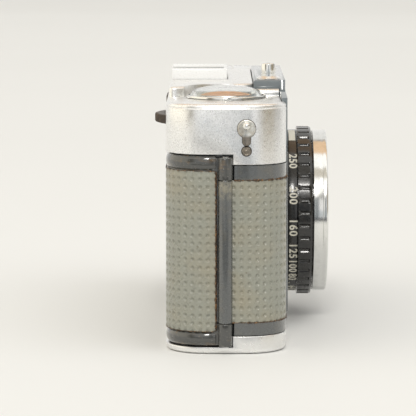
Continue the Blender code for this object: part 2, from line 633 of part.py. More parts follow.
def rewind():
    """Lifting collar, forked shaft, knob and the crank that folds into it."""
    centre = (*CARTRIDGE, 0)
    turned("rewind_collar", ring(2.1, 4.0, 50.5, 51.6), BRASS, centre, steps=32)
    shaft = turned("rewind_shaft", [(0, 57.7), (1.9, 57.7), (1.9, 44.0), (0, 44.0)], STEEL,
                   centre, steps=24)
    cut(shaft, box((CARTRIDGE.x - 0.6, CARTRIDGE.y - 3, 43), (CARTRIDGE.x + 0.6,
                                                             CARTRIDGE.y + 3, 47)))
    knob = turned("rewind_knob", [(0, 60.0), (8.4, 60.0), (8.8, 59.6), (8.8, 58.0), (0, 58.0)],
                  CHROME, centre)
    cut(knob, box((CARTRIDGE.x - 10, CARTRIDGE.y - 2.5, 58.6),
                  (CARTRIDGE.x + 10, CARTRIDGE.y + 2.5, 62)))
    arm = box((CARTRIDGE.x - 5.9, CARTRIDGE.y - 2.2, 59.2),
              (CARTRIDGE.x + 7.8, CARTRIDGE.y + 2.2, 59.9))
    crank = solid("rewind_crank", arm, CHROME, (CARTRIDGE.x - 5.4, CARTRIDGE.y, 59.5))
    fuse(crank, rod(1.9, (CARTRIDGE.x + 5.4, CARTRIDGE.y, 58.8),
                    (CARTRIDGE.x + 5.4, CARTRIDGE.y, 59.6), 20))


# --------------------------------------------------------------------------- back door

def door():
    """Wrap-round back on a side hinge, with its covering and film pressure parts."""
    recess = LEATHER_RECESS
    low, high = DOOR_Z
    sheet = plan_path(recess, (-HALF_WIDTH + recess, 2.2), (HALF_WIDTH - recess, 2.2), True)
    shell = wall("door_shell", sheet, low + 0.4, high - 0.4, 0.9, FRAME_GREY)
    rail_path = plan_path(0, (-HALF_WIDTH, 2.25), (HALF_WIDTH, 2.25), True)
    for label, z_low, z_high in (("low", low, DOOR_LEATHER_Z[0] - 0.1),
                                 ("high", DOOR_LEATHER_Z[1] + 0.1, high)):
        rail = wall("door_rail_" + label, rail_path, z_low, z_high, 2.0, None)
        edge = rail.modifiers.new("round", "BEVEL")
        edge.width = 0.6 * MM
        edge.segments = 2
        edge.limit_method = "ANGLE"
        edge.angle_limit = math.radians(40)
        boolean(shell, rail, "UNION")
    for label, z_low, z_high in (("low", 1.8, KNUCKLE_Z[0] - GAP),
                                 ("high", KNUCKLE_Z[1] + GAP, 45.5)):
        leaf = box((HINGE.x + 0.45, HINGE.y, z_low + 0.13), (-56.27, 3.37, z_high - 0.13))
        boolean(shell, solid("door_leaf_" + label, leaf), "UNION")
        boolean(shell, solid("door_knuckle_" + label, hinge_tube(z_low, z_high)), "UNION")
    boolean(shell, solid("door_bore", hinge_bore()), "DIFFERENCE")
    outer = recess - GAP / 2 - LEATHER
    path = plan_path(outer, (-HALF_WIDTH + outer, 2.5), (HALF_WIDTH - outer, 2.5), True)
    wall("door_leatherette", path, *DOOR_LEATHER_Z, LEATHER, HIDE)
    solid("door_catch", box((55.1, -1.9, 26.0), (55.8, 5.6, 30.4)), STEEL)
    spring = solid("pressure_spring", box((-9, 11.6, 24.7), (9, 12.35, 28.7)), STEEL)
    cut(spring, box((-7.5, 11.0, 24.0), (7.5, 12.05, 30)))
    plate_shape = box((-12, FILM_Y + 0.5, 9.0), (13, FILM_Y + 1.3, 44.2))
    solid("pressure_plate", plate_shape, STEEL)
    turned("hinge_pin", [(0, 45.7), (0.8, 45.7), (0.8, 1.6), (0, 1.6)], STEEL, (*HINGE, 0),
           steps=16)
    latch = box((HALF_WIDTH - 0.4, -5.8, 20), (HALF_WIDTH + 0.4, -1.0, 34))
    catch = solid("door_latch", latch, CHROME)
    fuse(catch, box((HALF_WIDTH, -5.2, 25.5), (HALF_WIDTH + 1.5, -1.6, 28.5)))


# ---------------------------------------------------------------------- base and inside

def base_fittings():
    """Tripod bush, rewind release and the two screws of the base plate."""
    turned("tripod_bush", [(0, 5.9), (5.0, 5.9), (5.0, 1.2), (6.0, 1.2), (6.0, 0.0),
                           (3.18, 0.0), (3.18, 4.9), (0, 4.9)], BRASS, (*TRIPOD, 0))
    turned("rewind_release", [(0, 6.2), (1.3, 6.2), (1.3, 1.2), (2.5, 1.2), (2.5, 0.2),
                              (0, 0.2)], CHROME, (*SPROCKET, 0), steps=28)
    for label, side in (("a", -1), ("b", 1)):
        screw = turned("base_screw_" + label, [(0, 3.8), (0.9, 3.8), (0.9, 1.1), (1.7, 1.1),
                                               (1.7, 0.2), (0, 0.2)], STEEL,
                       (side * 46, -8, 0), steps=20)
        cut(screw, box((side * 46 - 3, -8.2, -1), (side * 46 + 3, -7.8, 0.6)))
    turned("meter_movement", ring(1.5, 5.2, 47.6, 55.2), BRASS, (19.6, -1.0, 0))


body_casting()
top_cover()
front_fascia()
base_plate()
leather(-1)
leather(1)
front_panel()
finder()
counter()
hot_shoe()
strap_lug(-1, "hinge_side")
strap_lug(1, "latch_side")
shutter_button()
lens()
shutter_blade("shutter_blade_a", 0.0, 13.45)
shutter_blade("shutter_blade_b", math.pi, 13.95)
transport()
rewind()
door()
base_fittings()
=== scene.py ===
import math

import bmesh
import bpy
from mathutils import Matrix, Vector, noise


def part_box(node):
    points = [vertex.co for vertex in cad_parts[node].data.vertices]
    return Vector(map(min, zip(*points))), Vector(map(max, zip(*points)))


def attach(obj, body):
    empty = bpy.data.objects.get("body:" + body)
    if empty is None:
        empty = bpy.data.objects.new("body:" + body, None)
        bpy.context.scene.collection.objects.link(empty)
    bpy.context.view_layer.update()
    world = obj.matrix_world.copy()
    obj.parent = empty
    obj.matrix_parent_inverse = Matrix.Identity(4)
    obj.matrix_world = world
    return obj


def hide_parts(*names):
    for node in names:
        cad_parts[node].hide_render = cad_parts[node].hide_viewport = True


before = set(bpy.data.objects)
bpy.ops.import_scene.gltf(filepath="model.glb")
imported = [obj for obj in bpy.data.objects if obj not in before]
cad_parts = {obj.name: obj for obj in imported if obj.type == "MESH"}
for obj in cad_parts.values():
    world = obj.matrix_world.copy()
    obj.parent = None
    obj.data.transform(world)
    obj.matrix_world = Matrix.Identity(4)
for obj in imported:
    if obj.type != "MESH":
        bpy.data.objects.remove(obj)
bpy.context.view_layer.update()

MM = 0.001


def span(node):
    """A CAD node's lowest and highest corners in millimetres."""
    low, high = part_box(node)
    return low / MM, high / MM


def middle_of(node):
    low, high = span(node)
    return (low + high) / 2


def ring_of(node):
    """A lens ring's radius and the distances of its rear and front faces along -Y."""
    low, high = span(node)
    return (high.x - low.x) / 2, -high.y, -low.y


COVER, BASE, DOOR = span("top_cover"), span("base_plate"), span("door_shell")
HALF_WIDTH, HALF_DEPTH = COVER[1].x, COVER[1].y
CORNER_R = 9.5
SHEET = 0.9                        # thickness of the pressed covers
SPLIT_Y = -1.6                     # the back door lies behind this
COVER_LOW, COVER_STEP, LOW_TOP, RAISED_TOP = COVER[0].z, 46.2, 57.7, COVER[1].z
HIDE_LOW, HIDE_HIGH = (corner.z for corner in span("leather_hinge_side"))
HIDE_END_X, HIDE_END_Y = -23.5, -SPLIT_Y    # the front covering ends at the plate and the door
DOOR_HIDE_LOW, DOOR_HIDE_HIGH = (corner.z for corner in span("door_leatherette"))
HINGE, HINGE_R = Vector((-57.3, 0.2)), 1.68
LENS = (0, 0, middle_of("front_ring").z)
RING_BORE = 17.0
COUNTER, BUTTON, WHEEL, REWIND, BUSH, RELEASE = (middle_of(node).xy for node in (
    "counter_bezel", "shutter_button", "thumbwheel", "rewind_knob", "tripod_bush",
    "rewind_release"))
LUG, RIVET_Z = Vector((-4.6, 52.1)), 46.95     # y and z of the strap lugs
ARC = 14                           # steps round a plan corner


# Materials --------

class Look:
    """A Principled material whose colour, roughness and relief come from noise."""

    def __init__(self, name, colour, roughness, metallic=0.0):
        self.made = bpy.data.materials.new(name)
        self.made.use_nodes = True
        self.nodes, self.links = self.made.node_tree.nodes, self.made.node_tree.links
        self.shader = self.nodes["Principled BSDF"]
        self.set(Base_Color=(*colour, 1), Roughness=roughness, Metallic=metallic)
        self.place = self.nodes.new("ShaderNodeTexCoord").outputs["Object"]
        self.colour, self.base = None, colour

    def set(self, **values):
        for name, value in values.items():
            self.shader.inputs[name.replace("_", " ")].default_value = value
        return self

    def node(self, kind, linked, **values):
        """A node with some inputs linked and others set."""
        made = self.nodes.new("ShaderNode" + kind)
        for name, value in values.items():
            made.inputs[name.replace("_", " ")].default_value = value
        for name, source in linked.items():
            self.links.new(source, made.inputs[name])
        return made

    def noise(self, size, detail=2.0, stretch=(1, 1, 1)):
        """Noise whose features are about size millimetres across."""
        mapping = self.node("Mapping", {"Vector": self.place}, Scale=stretch)
        return self.node("TexNoise", {"Vector": mapping.outputs["Vector"]},
                         Scale=1 / (size * MM), Detail=detail).outputs["Fac"]

    def spread(self, source, low, high, to_low=0.0, to_high=1.0):
        return self.node("MapRange", {"Value": source}, From_Min=low, From_Max=high,
                         To_Min=to_low, To_Max=to_high).outputs["Result"]

    def band(self, axis, start, end):
        """0 before a position along an axis, in millimetres, and 1 after another."""
        parts = self.node("SeparateXYZ", {"Vector": self.place})
        return self.spread(parts.outputs[axis], start * MM, end * MM)

    def times(self, first, second):
        made = self.node("Math", {0: first, 1: second})
        made.operation = "MULTIPLY"
        return made.outputs["Value"]

    def tint(self, colour, share):
        """Lay another colour over the base where share is 1."""
        made = self.nodes.new("ShaderNodeMix")
        made.data_type = "RGBA"
        made.inputs["A"].default_value = (*self.base, 1)
        made.inputs["B"].default_value = (*colour, 1)
        if self.colour:
            self.links.new(self.colour, made.inputs["A"])
        self.links.new(share, made.inputs["Factor"])
        self.colour = made.outputs["Result"]
        self.links.new(self.colour, self.shader.inputs["Base Color"])

    def stain(self, colour, size, detail, low, high, most=1.0, stretch=(1, 1, 1)):
        """Tint where noise rises from low to high, up to a share of most."""
        self.tint(colour, self.spread(self.noise(size, detail, stretch), low, high, 0, most))

    def rough(self, size, detail, low, high, stretch=(1, 1, 1)):
        self.links.new(self.spread(self.noise(size, detail, stretch), 0.3, 0.7, low, high),
                       self.shader.inputs["Roughness"])

    def relief(self, *layers):
        """Bump from layers of noise with a height in millimetres; gives the material."""
        linked = {}
        for size, detail, height, *stretch in layers:
            linked["Height"] = self.noise(size, detail, *stretch)
            bump = self.node("Bump", linked, Distance=height * MM)
            linked["Normal"] = bump.outputs["Normal"]
        self.links.new(linked["Normal"], self.shader.inputs["Normal"])
        return self.made


def satin_look(name, grain):
    """Bead-blasted chrome: fine sparkle, faint stains."""
    look = Look(name, (0.88, 0.88, 0.87), 0.30, 1.0)
    look.stain((0.80, 0.785, 0.74), 11, 3, 0.52, 0.85, 0.35)
    look.stain((1.0, 1.0, 1.0), 0.30, 1, 0.50, 0.66, grain)
    look.stain((0.68, 0.68, 0.67), 0.32, 1, 0.50, 0.68, grain, (1, 1.1, 1))
    look.rough(1.5, 3, 0.26, 0.34)
    return look.relief((0.28, 1, 0.006 * grain))


def chrome_look():
    look = Look("bright_chrome", (0.83, 0.83, 0.81), 0.08, 1.0)
    look.stain((0.66, 0.61, 0.52), 2.5, 5, 0.55, 0.8, 0.5)
    look.rough(0.8, 4, 0.05, 0.14)
    return look.relief((1.2, 2, 0.0008))


def turned_look():
    """Chrome with fine lathe lines round the lens axis."""
    look = Look("turned_chrome", (0.80, 0.80, 0.78), 0.12, 1.0)
    look.stain((0.55, 0.56, 0.54), 1.6, 5, 0.5, 0.8, 0.5)
    look.rough(0.5, 3, 0.10, 0.19, (1, 12, 1))
    return look.relief((4.0, 2, 0.006, (0.2, 30, 0.2)))


def casting_look():
    """Grey enamel on the die casting, with bare yellowish metal on the worn knuckle."""
    look = Look("grey_casting", (0.062, 0.067, 0.067), 0.26)
    look.stain((0.10, 0.088, 0.06), 2.2, 5, 0.52, 0.75, 0.5)
    worn = look.spread(look.noise(0.9, 5), 0.30, 0.62, 0, 0.75)
    for axis, start, end in (("Z", 35.2, 37.6), ("X", -56.2, -56.6), ("Z", 41.0, 39.2)):
        worn = look.times(worn, look.band(axis, start, end))
    look.tint((0.26, 0.235, 0.165), worn)
    look.rough(1.2, 4, 0.2, 0.34)
    look.set(Coat_Weight=1.0, Coat_Roughness=0.08, Specular_IOR_Level=0.9)
    return look.relief((0.9, 3, 0.005))


def enamel_look():
    """Dark glossy door enamel, browned and scuffed."""
    look = Look("door_enamel", (0.052, 0.053, 0.050), 0.2)
    look.stain((0.16, 0.10, 0.045), 2.6, 5, 0.56, 0.74, 0.7, (1, 1, 2))
    look.stain((0.42, 0.40, 0.35), 0.30, 3, 0.66, 0.74, 0.7)
    look.rough(1.0, 5, 0.08, 0.28)
    look.set(Coat_Weight=1.0, Coat_Roughness=0.05)
    return look.relief((2.2, 3, 0.03, (1, 1, 2)), (0.5, 3, 0.004))


def hide_look():
    """Grey-beige leatherette, yellower in patches, with a fine grain."""
    look = Look("grey_leatherette", (0.282, 0.286, 0.240), 0.4)
    look.stain((0.33, 0.285, 0.19), 11, 4, 0.48, 0.74, 0.55)
    look.stain((0.19, 0.19, 0.16), 0.7, 4, 0.52, 0.75, 0.55)
    look.stain((0.12, 0.085, 0.045), 1.5, 6, 0.68, 0.76, 0.6)
    look.rough(0.9, 3, 0.24, 0.38)
    look.set(Coat_Weight=0.35, Coat_Roughness=0.2)
    return look.relief((0.6, 3, 0.018), (0.16, 2, 0.006))


def fascia_look():
    look = Look("blue_grey_gloss", (0.16, 0.185, 0.20), 0.14)
    look.stain((0.11, 0.12, 0.125), 2.5, 5, 0.5, 0.75, 0.5)
    look.rough(0.9, 4, 0.08, 0.2)
    look.set(Coat_Weight=0.5, Coat_Roughness=0.05)
    return look.relief((0.6, 2, 0.003))


def black_look():
    look = Look("black_anodised", (0.010, 0.0095, 0.009), 0.25)
    look.stain((0.028, 0.024, 0.02), 1.4, 5, 0.5, 0.75)
    look.rough(0.6, 4, 0.16, 0.30)
    look.set(Coat_Weight=0.5, Coat_Roughness=0.09)
    return look.relief((0.2, 2, 0.0015))


def plastic_look():
    look = Look("dark_plastic", (0.05, 0.036, 0.026), 0.42)
    look.stain((0.10, 0.07, 0.045), 0.8, 4, 0.48, 0.75)
    look.rough(0.5, 3, 0.34, 0.55)
    return look.relief((0.3, 3, 0.01))


def metal_look(name, colour, dull, roughness, stained_below=None):
    look = Look(name, colour, roughness, 1.0)
    look.stain(dull, 2.0, 5, 0.45, 0.75, 0.8)
    if stained_below:
        look.tint((0.16, 0.13, 0.10), look.spread(
            look.band("Z", stained_below + 0.5, stained_below - 0.2), 0, 1, 0, 0.85))
    look.rough(0.7, 4, roughness - 0.07, roughness + 0.1)
    return look.relief((0.25, 3, 0.003, (1, 1, 4)))


def glass_look(name, colour, roughness):
    look = Look(name, colour, roughness)
    look.rough(3.0, 3, roughness, roughness + 0.04)
    return look.set(Transmission_Weight=0.95, IOR=1.5).made


def paint_look(name, colour, speck, roughness):
    look = Look(name, colour, roughness)
    look.stain(speck, 0.35, 4, 0.5, 0.78, 0.8)
    look.rough(0.4, 3, roughness - 0.08, roughness + 0.1)
    return look.relief((0.2, 3, 0.006))


SATIN, PLAIN_SATIN = satin_look("satin_chrome", 0.8), satin_look("plain_satin", 0.15)
CHROME, TURNED = chrome_look(), turned_look()
CASTING, ENAMEL, HIDE, FASCIA = casting_look(), enamel_look(), hide_look(), fascia_look()
BLACK, PLASTIC = black_look(), plastic_look()
BRIGHT = paint_look("bright_satin", (0.86, 0.87, 0.87), (0.74, 0.74, 0.73), 0.3)
STEEL = metal_look("steel", (0.56, 0.56, 0.55), (0.36, 0.35, 0.32), 0.28)
LUG_METAL = metal_look("lug_metal", (0.80, 0.79, 0.74), (0.40, 0.32, 0.22), 0.3, 50.3)
# Dark grey metal for the front plate, a satin chrome part: its darkness is a painted dark
# reflection.
PLATE_DARKENED = metal_look("plate_painted_dark_reflection", (0.26, 0.27, 0.28), (0.16, 0.16, 0.16), 0.2)
# Light grey for the grip ring's groove floors: a painted highlight for the light the grooves
# catch.
GROOVE_HIGHLIGHT = paint_look("painted_groove_highlight", (0.52, 0.54, 0.57), (0.40, 0.42, 0.44), 0.4)
BRASS = metal_look("brass", (0.72, 0.53, 0.26), (0.45, 0.30, 0.14), 0.26)
GLASS = glass_look("clear_glass", (0.93, 0.95, 0.94), 0.01)
CELL = glass_look("cell_window", (0.80, 0.80, 0.70), 0.08)
CREAM = paint_look("cream_paint", (0.80, 0.77, 0.66), (0.62, 0.56, 0.42), 0.45)
# Orange for the arc under the counter dome's front: a painted reflection of an orange light
# overhead.
ORANGE_REFLECTION = paint_look("painted_orange_reflection", (0.88, 0.56, 0.36), (0.72, 0.42, 0.25), 0.45)
GLUE = paint_look("old_glue", (0.035, 0.019, 0.009), (0.55, 0.27, 0.08), 0.35)
# Near-black for thin rings round the strap lug plates and rivets: painted shade where these parts
# meet the cover.
PAINTED_SHADE = paint_look("painted_shade", (0.02, 0.016, 0.012), (0.10, 0.06, 0.03), 0.6)


# Mesh building --------

def placed(name, data):
    made = bpy.data.objects.new(name, data)
    bpy.context.scene.collection.objects.link(made)
    return made


def mesh_from(name, bm):
    mesh = bpy.data.meshes.new(name)
    bm.to_mesh(mesh)
    bm.free()
    return mesh


def object_of(name, bm):
    bmesh.ops.recalc_face_normals(bm, faces=bm.faces)
    return placed(name, mesh_from(name, bm))


def mesh_of(made):
    """The object's evaluated mesh as a bmesh; the object goes."""
    evaluated = made.evaluated_get(bpy.context.evaluated_depsgraph_get())
    mesh = bpy.data.meshes.new_from_object(evaluated)
    bm = bmesh.new()
    bm.from_mesh(mesh)
    bpy.data.objects.remove(made)
    bpy.data.meshes.remove(mesh)
    return bm


def combine(target, tools, operation):
    """Boolean bmesh tools with a bmesh target, one after another."""
    for tool in tools:
        body, other = object_of("target", target), object_of("tool", tool)
        step = body.modifiers.new("step", "BOOLEAN")
        step.operation, step.solver, step.object = operation, "EXACT", other
        target = mesh_of(body)
        bpy.data.objects.remove(other)
    return target


def cut(target, *tools):
    return combine(target, tools, "DIFFERENCE")


def fuse(target, *tools):
    return combine(target, tools, "UNION")


def piece(name, bm, look, body, nodes=(), slot=None, soften=0.0, smooth=32):
    """A finished piece of a bmesh in millimetres, on a body, in place of CAD nodes."""
    made = object_of(name, bm)
    if soften:
        bevel = made.modifiers.new("soften", "BEVEL")
        bevel.width, bevel.segments = soften, 2
        bevel.limit_method, bevel.angle_limit = "ANGLE", math.radians(38)
        bevel.use_clamp_overlap = True
        made = object_of(name, mesh_of(made))
    made.data.transform(Matrix.Scale(MM, 4))
    made.data.shade_smooth()
    made.data.set_sharp_from_angle(angle=math.radians(smooth))
    made.data.materials.clear()
    made.data.materials.append(look)
    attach(made, body)
    if nodes:
        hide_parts(*nodes)
    return made


def fixed(name, bm, look, nodes=(), slot=None, **finish):
    """A piece of the camera's own body."""
    return piece(name, bm, look, "camera_body", nodes, slot, **finish)


def round_edges(bm, edges, width, segments):
    bmesh.ops.bevel(bm, geom=edges, offset=width, segments=segments, affect="EDGES",
                    profile=0.5)


def block(low, high, radius=0.0, segments=3):
    """A box with every edge rounded."""
    low, high = Vector(low), Vector(high)
    bm = bmesh.new()
    bmesh.ops.create_cube(bm, size=1.0)
    bmesh.ops.scale(bm, vec=high - low, verts=bm.verts)
    bmesh.ops.translate(bm, vec=(low + high) / 2, verts=bm.verts)
    if radius:
        round_edges(bm, bm.edges[:], radius, segments)
    return bm


def rod(radius, start, end, sides=48):
    start, end = Vector(start), Vector(end)
    bm = bmesh.new()
    bmesh.ops.create_cone(bm, cap_ends=True, segments=sides, radius1=radius, radius2=radius,
                          depth=(end - start).length)
    turn = Vector((0, 0, 1)).rotation_difference(end - start).to_matrix().to_4x4()
    bmesh.ops.transform(bm, verts=bm.verts, matrix=Matrix.Translation((start + end) / 2) @ turn)
    return bm


TURNS = {"Z": Matrix.Identity(3), "-Y": Matrix.Rotation(math.pi / 2, 3, "X"),
         "X": Matrix.Rotation(math.pi / 2, 3, "Y"), "-X": Matrix.Rotation(-math.pi / 2, 3, "Y")}


def turned(profile, centre, along="Z", steps=96, shape=None):
    """A turned body. Profile points are (radius, distance along the axis); a profile with
    a bore is closed. shape(angle, radius, height) may give a point another radius."""
    bm = bmesh.new()
    turn, centre = TURNS[along], Vector(centre)
    rows = []
    for radius, height in profile:
        count = steps if radius > 1e-6 else 1
        row = []
        for step in range(count):
            angle = math.tau * step / steps
            reach = shape(angle, radius, height) if shape and radius > 1e-6 else radius
            point = Vector((reach * math.cos(angle), reach * math.sin(angle), height))
            row.append(bm.verts.new(centre + turn @ point))
        rows.append(row)
    pairs = list(zip(rows, rows[1:]))
    if all(radius > 1e-6 for radius, _ in profile):
        pairs.append((rows[-1], rows[0]))
    for first, second in pairs:
        for step in range(steps):
            after = (step + 1) % steps
            corners = [first[step % len(first)], first[after % len(first)],
                       second[after % len(second)], second[step % len(second)]]
            bm.faces.new(list(dict.fromkeys(corners)))
    return bm


def rounded(radius, height, size, start=0.0, end=90.0, count=5):
    """Profile points round an arc about (radius, height), angles from outward to upward."""
    return [(radius + size * math.cos(math.radians(start + (end - start) * n / count)),
             height + size * math.sin(math.radians(start + (end - start) * n / count)))
            for n in range(count + 1)]


def loft(rows):
    """Skin loops of points and close both ends."""
    bm = bmesh.new()
    made = [[bm.verts.new(point) for point in row] for row in rows]
    for first, second in zip(made, made[1:]):
        for step in range(len(first)):
            after = (step + 1) % len(first)
            bm.faces.new((first[step], first[after], second[after], second[step]))
    bm.faces.new(made[0])
    bm.faces.new(made[-1])
    return bm


def plan(inset):
    """The body's whole plan outline, set in by a distance."""
    half_w, half_d, radius = HALF_WIDTH - inset, HALF_DEPTH - inset, CORNER_R - inset
    points = []
    for number, (x, y) in enumerate(((1, 1), (-1, 1), (-1, -1), (1, -1))):
        centre = Vector((x * (half_w - radius), y * (half_d - radius)))
        for step in range(ARC + 1):
            angle = math.pi / 2 * (number + step / ARC)
            points.append(centre + radius * Vector((math.cos(angle), math.sin(angle))))
    return points


def half_plan(inset, start_y, rear, end_x=None):
    """The outline from the hinge end wall at start_y round to the other end wall, or to
    end_x on the first long side, as points with their outward directions."""
    sign = 1 if rear else -1
    half_w, half_d, radius = HALF_WIDTH - inset, HALF_DEPTH - inset, CORNER_R - inset
    steps = []
    for side in (-1, 1):
        for step in range(ARC + 1):
            angle = math.pi / 2 * (step / ARC)
            out = Vector((-math.cos(angle), math.sin(angle))) if side < 0 else \
                Vector((math.sin(angle), math.cos(angle)))
            centre = Vector((side * (half_w - radius), half_d - radius))
            steps.append((centre + radius * out, out))
    first = (Vector((-half_w, start_y * sign)), Vector((-1, 0)))
    last = (Vector((half_w, start_y * sign)), Vector((1, 0)))
    if end_x is not None:
        steps, last = steps[:ARC + 1], (Vector((end_x, half_d)), Vector((0, 1)))
    flip = Vector((1, sign))
    return [(point * flip, out * flip) for point, out in [first, *steps, last]]


def upright_sweep(section, start_y):
    """Sweep a closed section of (inset, z) points round the rear half of the outline."""
    paths = [half_plan(inset, start_y, True) for inset, _ in section]
    return loft([[(*path[station][0], z) for path, (_, z) in zip(paths, section)]
                 for station in range(len(paths[0]))])


DOT_PITCH = 1.86
DOT_R, DOT_DEPTH = 0.60, 0.42
DOT_LINES = (-0.5, -0.38, -0.31, -0.22, -0.11, 0.0, 0.11, 0.22, 0.31, 0.38)


def lines_along(length, pitch):
    """The margin before the first pitch, and the places of the dots' lines in a length."""
    margin = length % pitch / 2
    inner = {round(margin + (cell + share + 0.5) * pitch, 4)
             for cell in range(int(length / pitch)) for share in DOT_LINES}
    return margin, sorted({0.0, length} | inner)


def stations(inset, start_y, rear, end_x, pitch):
    """Points at the dots' lines along a half outline: (point, outward direction,
    distance)."""
    path = half_plan(inset, start_y, rear, end_x)
    walked = [0.0]
    for (a, _), (b, _) in zip(path, path[1:]):
        walked.append(walked[-1] + (b - a).length)
    margin, wanted = lines_along(walked[-1], pitch)
    found, index = [], 0
    for distance in wanted:
        while index < len(path) - 2 and walked[index + 1] < distance:
            index += 1
        share = (distance - walked[index]) / (walked[index + 1] - walked[index])
        point = path[index][0].lerp(path[index + 1][0], share)
        out = path[index][1].lerp(path[index + 1][1], share).normalized()
        found.append((point, out, distance - margin))
    return found


def dotted(distance, height):
    """Relief of the pressed covering at a point: a round pit in a softly raised rim."""
    across = (distance / DOT_PITCH) % 1.0 - 0.5
    up = (height / DOT_PITCH) % 1.0 - 0.5
    radius = math.hypot(across, up) * DOT_PITCH
    pit = DOT_DEPTH * (0.5 + 0.5 * math.cos(math.pi * min(1.0, radius / DOT_R)))
    return 0.07 * math.exp(-((radius - 0.66) / 0.13) ** 2) - pit


def covering(label, start_y, rear, end_x, z_low, z_high, body, node, side=-1, window=None):
    """A sheet of leatherette with its pressed dots, closed at the back."""
    thickness, sunk, tucked = 0.55, 0.045, 0.10
    margin, heights = lines_along(z_high - z_low, DOT_PITCH)
    bm = bmesh.new()
    front, back = [], []
    for point, out, distance in stations(0.0, start_y, rear, end_x, DOT_PITCH):
        column = []
        for height in heights:
            lift = dotted(distance, height - margin)
            lift -= tucked if height in (heights[0], heights[-1]) else sunk
            spot = point + out * lift
            column.append(bm.verts.new((-side * spot.x, spot.y, z_low + height)))
        front.append(column)
        deep = point - out * thickness
        back.append([bm.verts.new((-side * deep.x, deep.y, z)) for z in (z_low, z_high)])
    for first, second, near, far in zip(front, front[1:], back, back[1:]):
        for low in range(len(heights) - 1):
            bm.faces.new((first[low], second[low], second[low + 1], first[low + 1]))
        bm.faces.new((near[0], near[1], far[1], far[0]))
        bm.faces.new((first[0], near[0], far[0], second[0]))
        bm.faces.new((first[-1], second[-1], far[1], near[1]))
    for column, (low, high) in ((front[0], back[0]), (front[-1], back[-1])):
        bm.faces.new([*column, high, low])
    if window:
        bm = cut(bm, window)
    piece("covering_" + label, bm, HIDE, body, [node], "grey_leatherette", smooth=60)


def bead(name, points, size, body, seed, spread=0.5):
    """A thin uneven line of old glue along points."""
    rows = []
    for number, point in enumerate(points):
        point = Vector(point)
        before = Vector(points[max(number - 1, 0)])
        after = Vector(points[min(number + 1, len(points) - 1)])
        ahead = (after - before).normalized()
        side = ahead.orthogonal().normalized()
        other = ahead.cross(side)
        swell = noise.noise(point * 1.9 + Vector((seed, 0, 0)))
        swell += 0.6 * noise.noise(point * 5.3 + Vector((0, seed, 0)))
        radius = size * max(0.25, 1 + spread * 2.2 * swell)
        if number in (0, len(points) - 1):
            radius = size * 0.2
        rows.append([point + radius * (math.cos(turn) * side + math.sin(turn) * other)
                     for turn in (math.tau * n / 7 for n in range(7))])
    piece(name, loft(rows), GLUE, body, slot="dark_plastic", smooth=80)


MARK_DEPTH = 0.06


def lettering(text, size, put, bold=0.0):
    """Plain characters as solid relief; put(x, y, z) places a point of the flat text."""
    curve = bpy.data.curves.new("mark", "FONT")
    curve.body, curve.size = text, size
    curve.align_x, curve.align_y = "CENTER", "CENTER"
    curve.extrude, curve.offset = MARK_DEPTH / 2, bold
    curve.space_character, curve.resolution_u = 1.12, 4
    made = placed("mark", curve)
    bpy.context.view_layer.update()
    bm = mesh_of(made)
    bmesh.ops.remove_doubles(bm, verts=bm.verts, dist=1e-4)
    for vertex in bm.verts:
        vertex.co = put(*vertex.co)
    return bm


def merged(shapes):
    """Several bmeshes as one."""
    whole = bmesh.new()
    for bm in shapes:
        mesh = mesh_from("share", bm)
        whole.from_mesh(mesh)
        bpy.data.meshes.remove(mesh)
    return whole


# Camera and setting --------

def camera():
    """The end view from the hinge side, slightly above."""
    view = bpy.data.cameras.new("view")
    view.sensor_width, view.lens = 36.0, 225.7
    view.clip_start, view.clip_end = 0.05, 50.0
    made = placed("view", view)
    made.location = (-0.6505, 0.0020, 0.1039)
    yaw, pitch = 0.0037, 0.1175
    ahead = Vector((math.cos(yaw) * math.cos(pitch), math.sin(yaw) * math.cos(pitch),
                    -math.sin(pitch)))
    made.rotation_euler = ahead.to_track_quat("-Z", "Y").to_euler()
    bpy.context.scene.camera = made


MIDDLE = Vector((0, 0, 0.03))       # the point that the lights and panels face


def face_middle(made, azimuth, elevation, distance):
    """Put something round the middle, facing it. Azimuth is from -X towards +Y."""
    a, e = math.radians(azimuth), math.radians(elevation)
    out = Vector((-math.cos(a) * math.cos(e), math.sin(a) * math.cos(e), math.sin(e)))
    made.location = out * distance + MIDDLE
    made.rotation_euler = out.to_track_quat("Z", "Y").to_euler()


def grid(size):
    bm = bmesh.new()
    bmesh.ops.create_grid(bm, x_segments=1, y_segments=1, size=size)
    return bm


def card(name, azimuth, elevation, wide, high, colour, strength, distance=1.6):
    """A glowing panel that only reflections see; it fills wide by high degrees."""
    bm = grid(1.0)
    reach = [distance * math.tan(math.radians(angle / 2)) for angle in (wide, high)]
    bmesh.ops.scale(bm, vec=(*reach, 1), verts=bm.verts)
    look = bpy.data.materials.new(name)
    look.use_nodes = True
    nodes = look.node_tree.nodes
    nodes.remove(nodes["Principled BSDF"])
    glow = nodes.new("ShaderNodeEmission")
    glow.inputs["Color"].default_value = (*colour, 1)
    glow.inputs["Strength"].default_value = strength
    look.node_tree.links.new(glow.outputs["Emission"], nodes["Material Output"].inputs["Surface"])
    made = placed(name, mesh_from(name, bm))
    made.data.materials.append(look)
    face_middle(made, azimuth, elevation, distance)
    made.visible_camera = made.visible_shadow = made.visible_diffuse = False


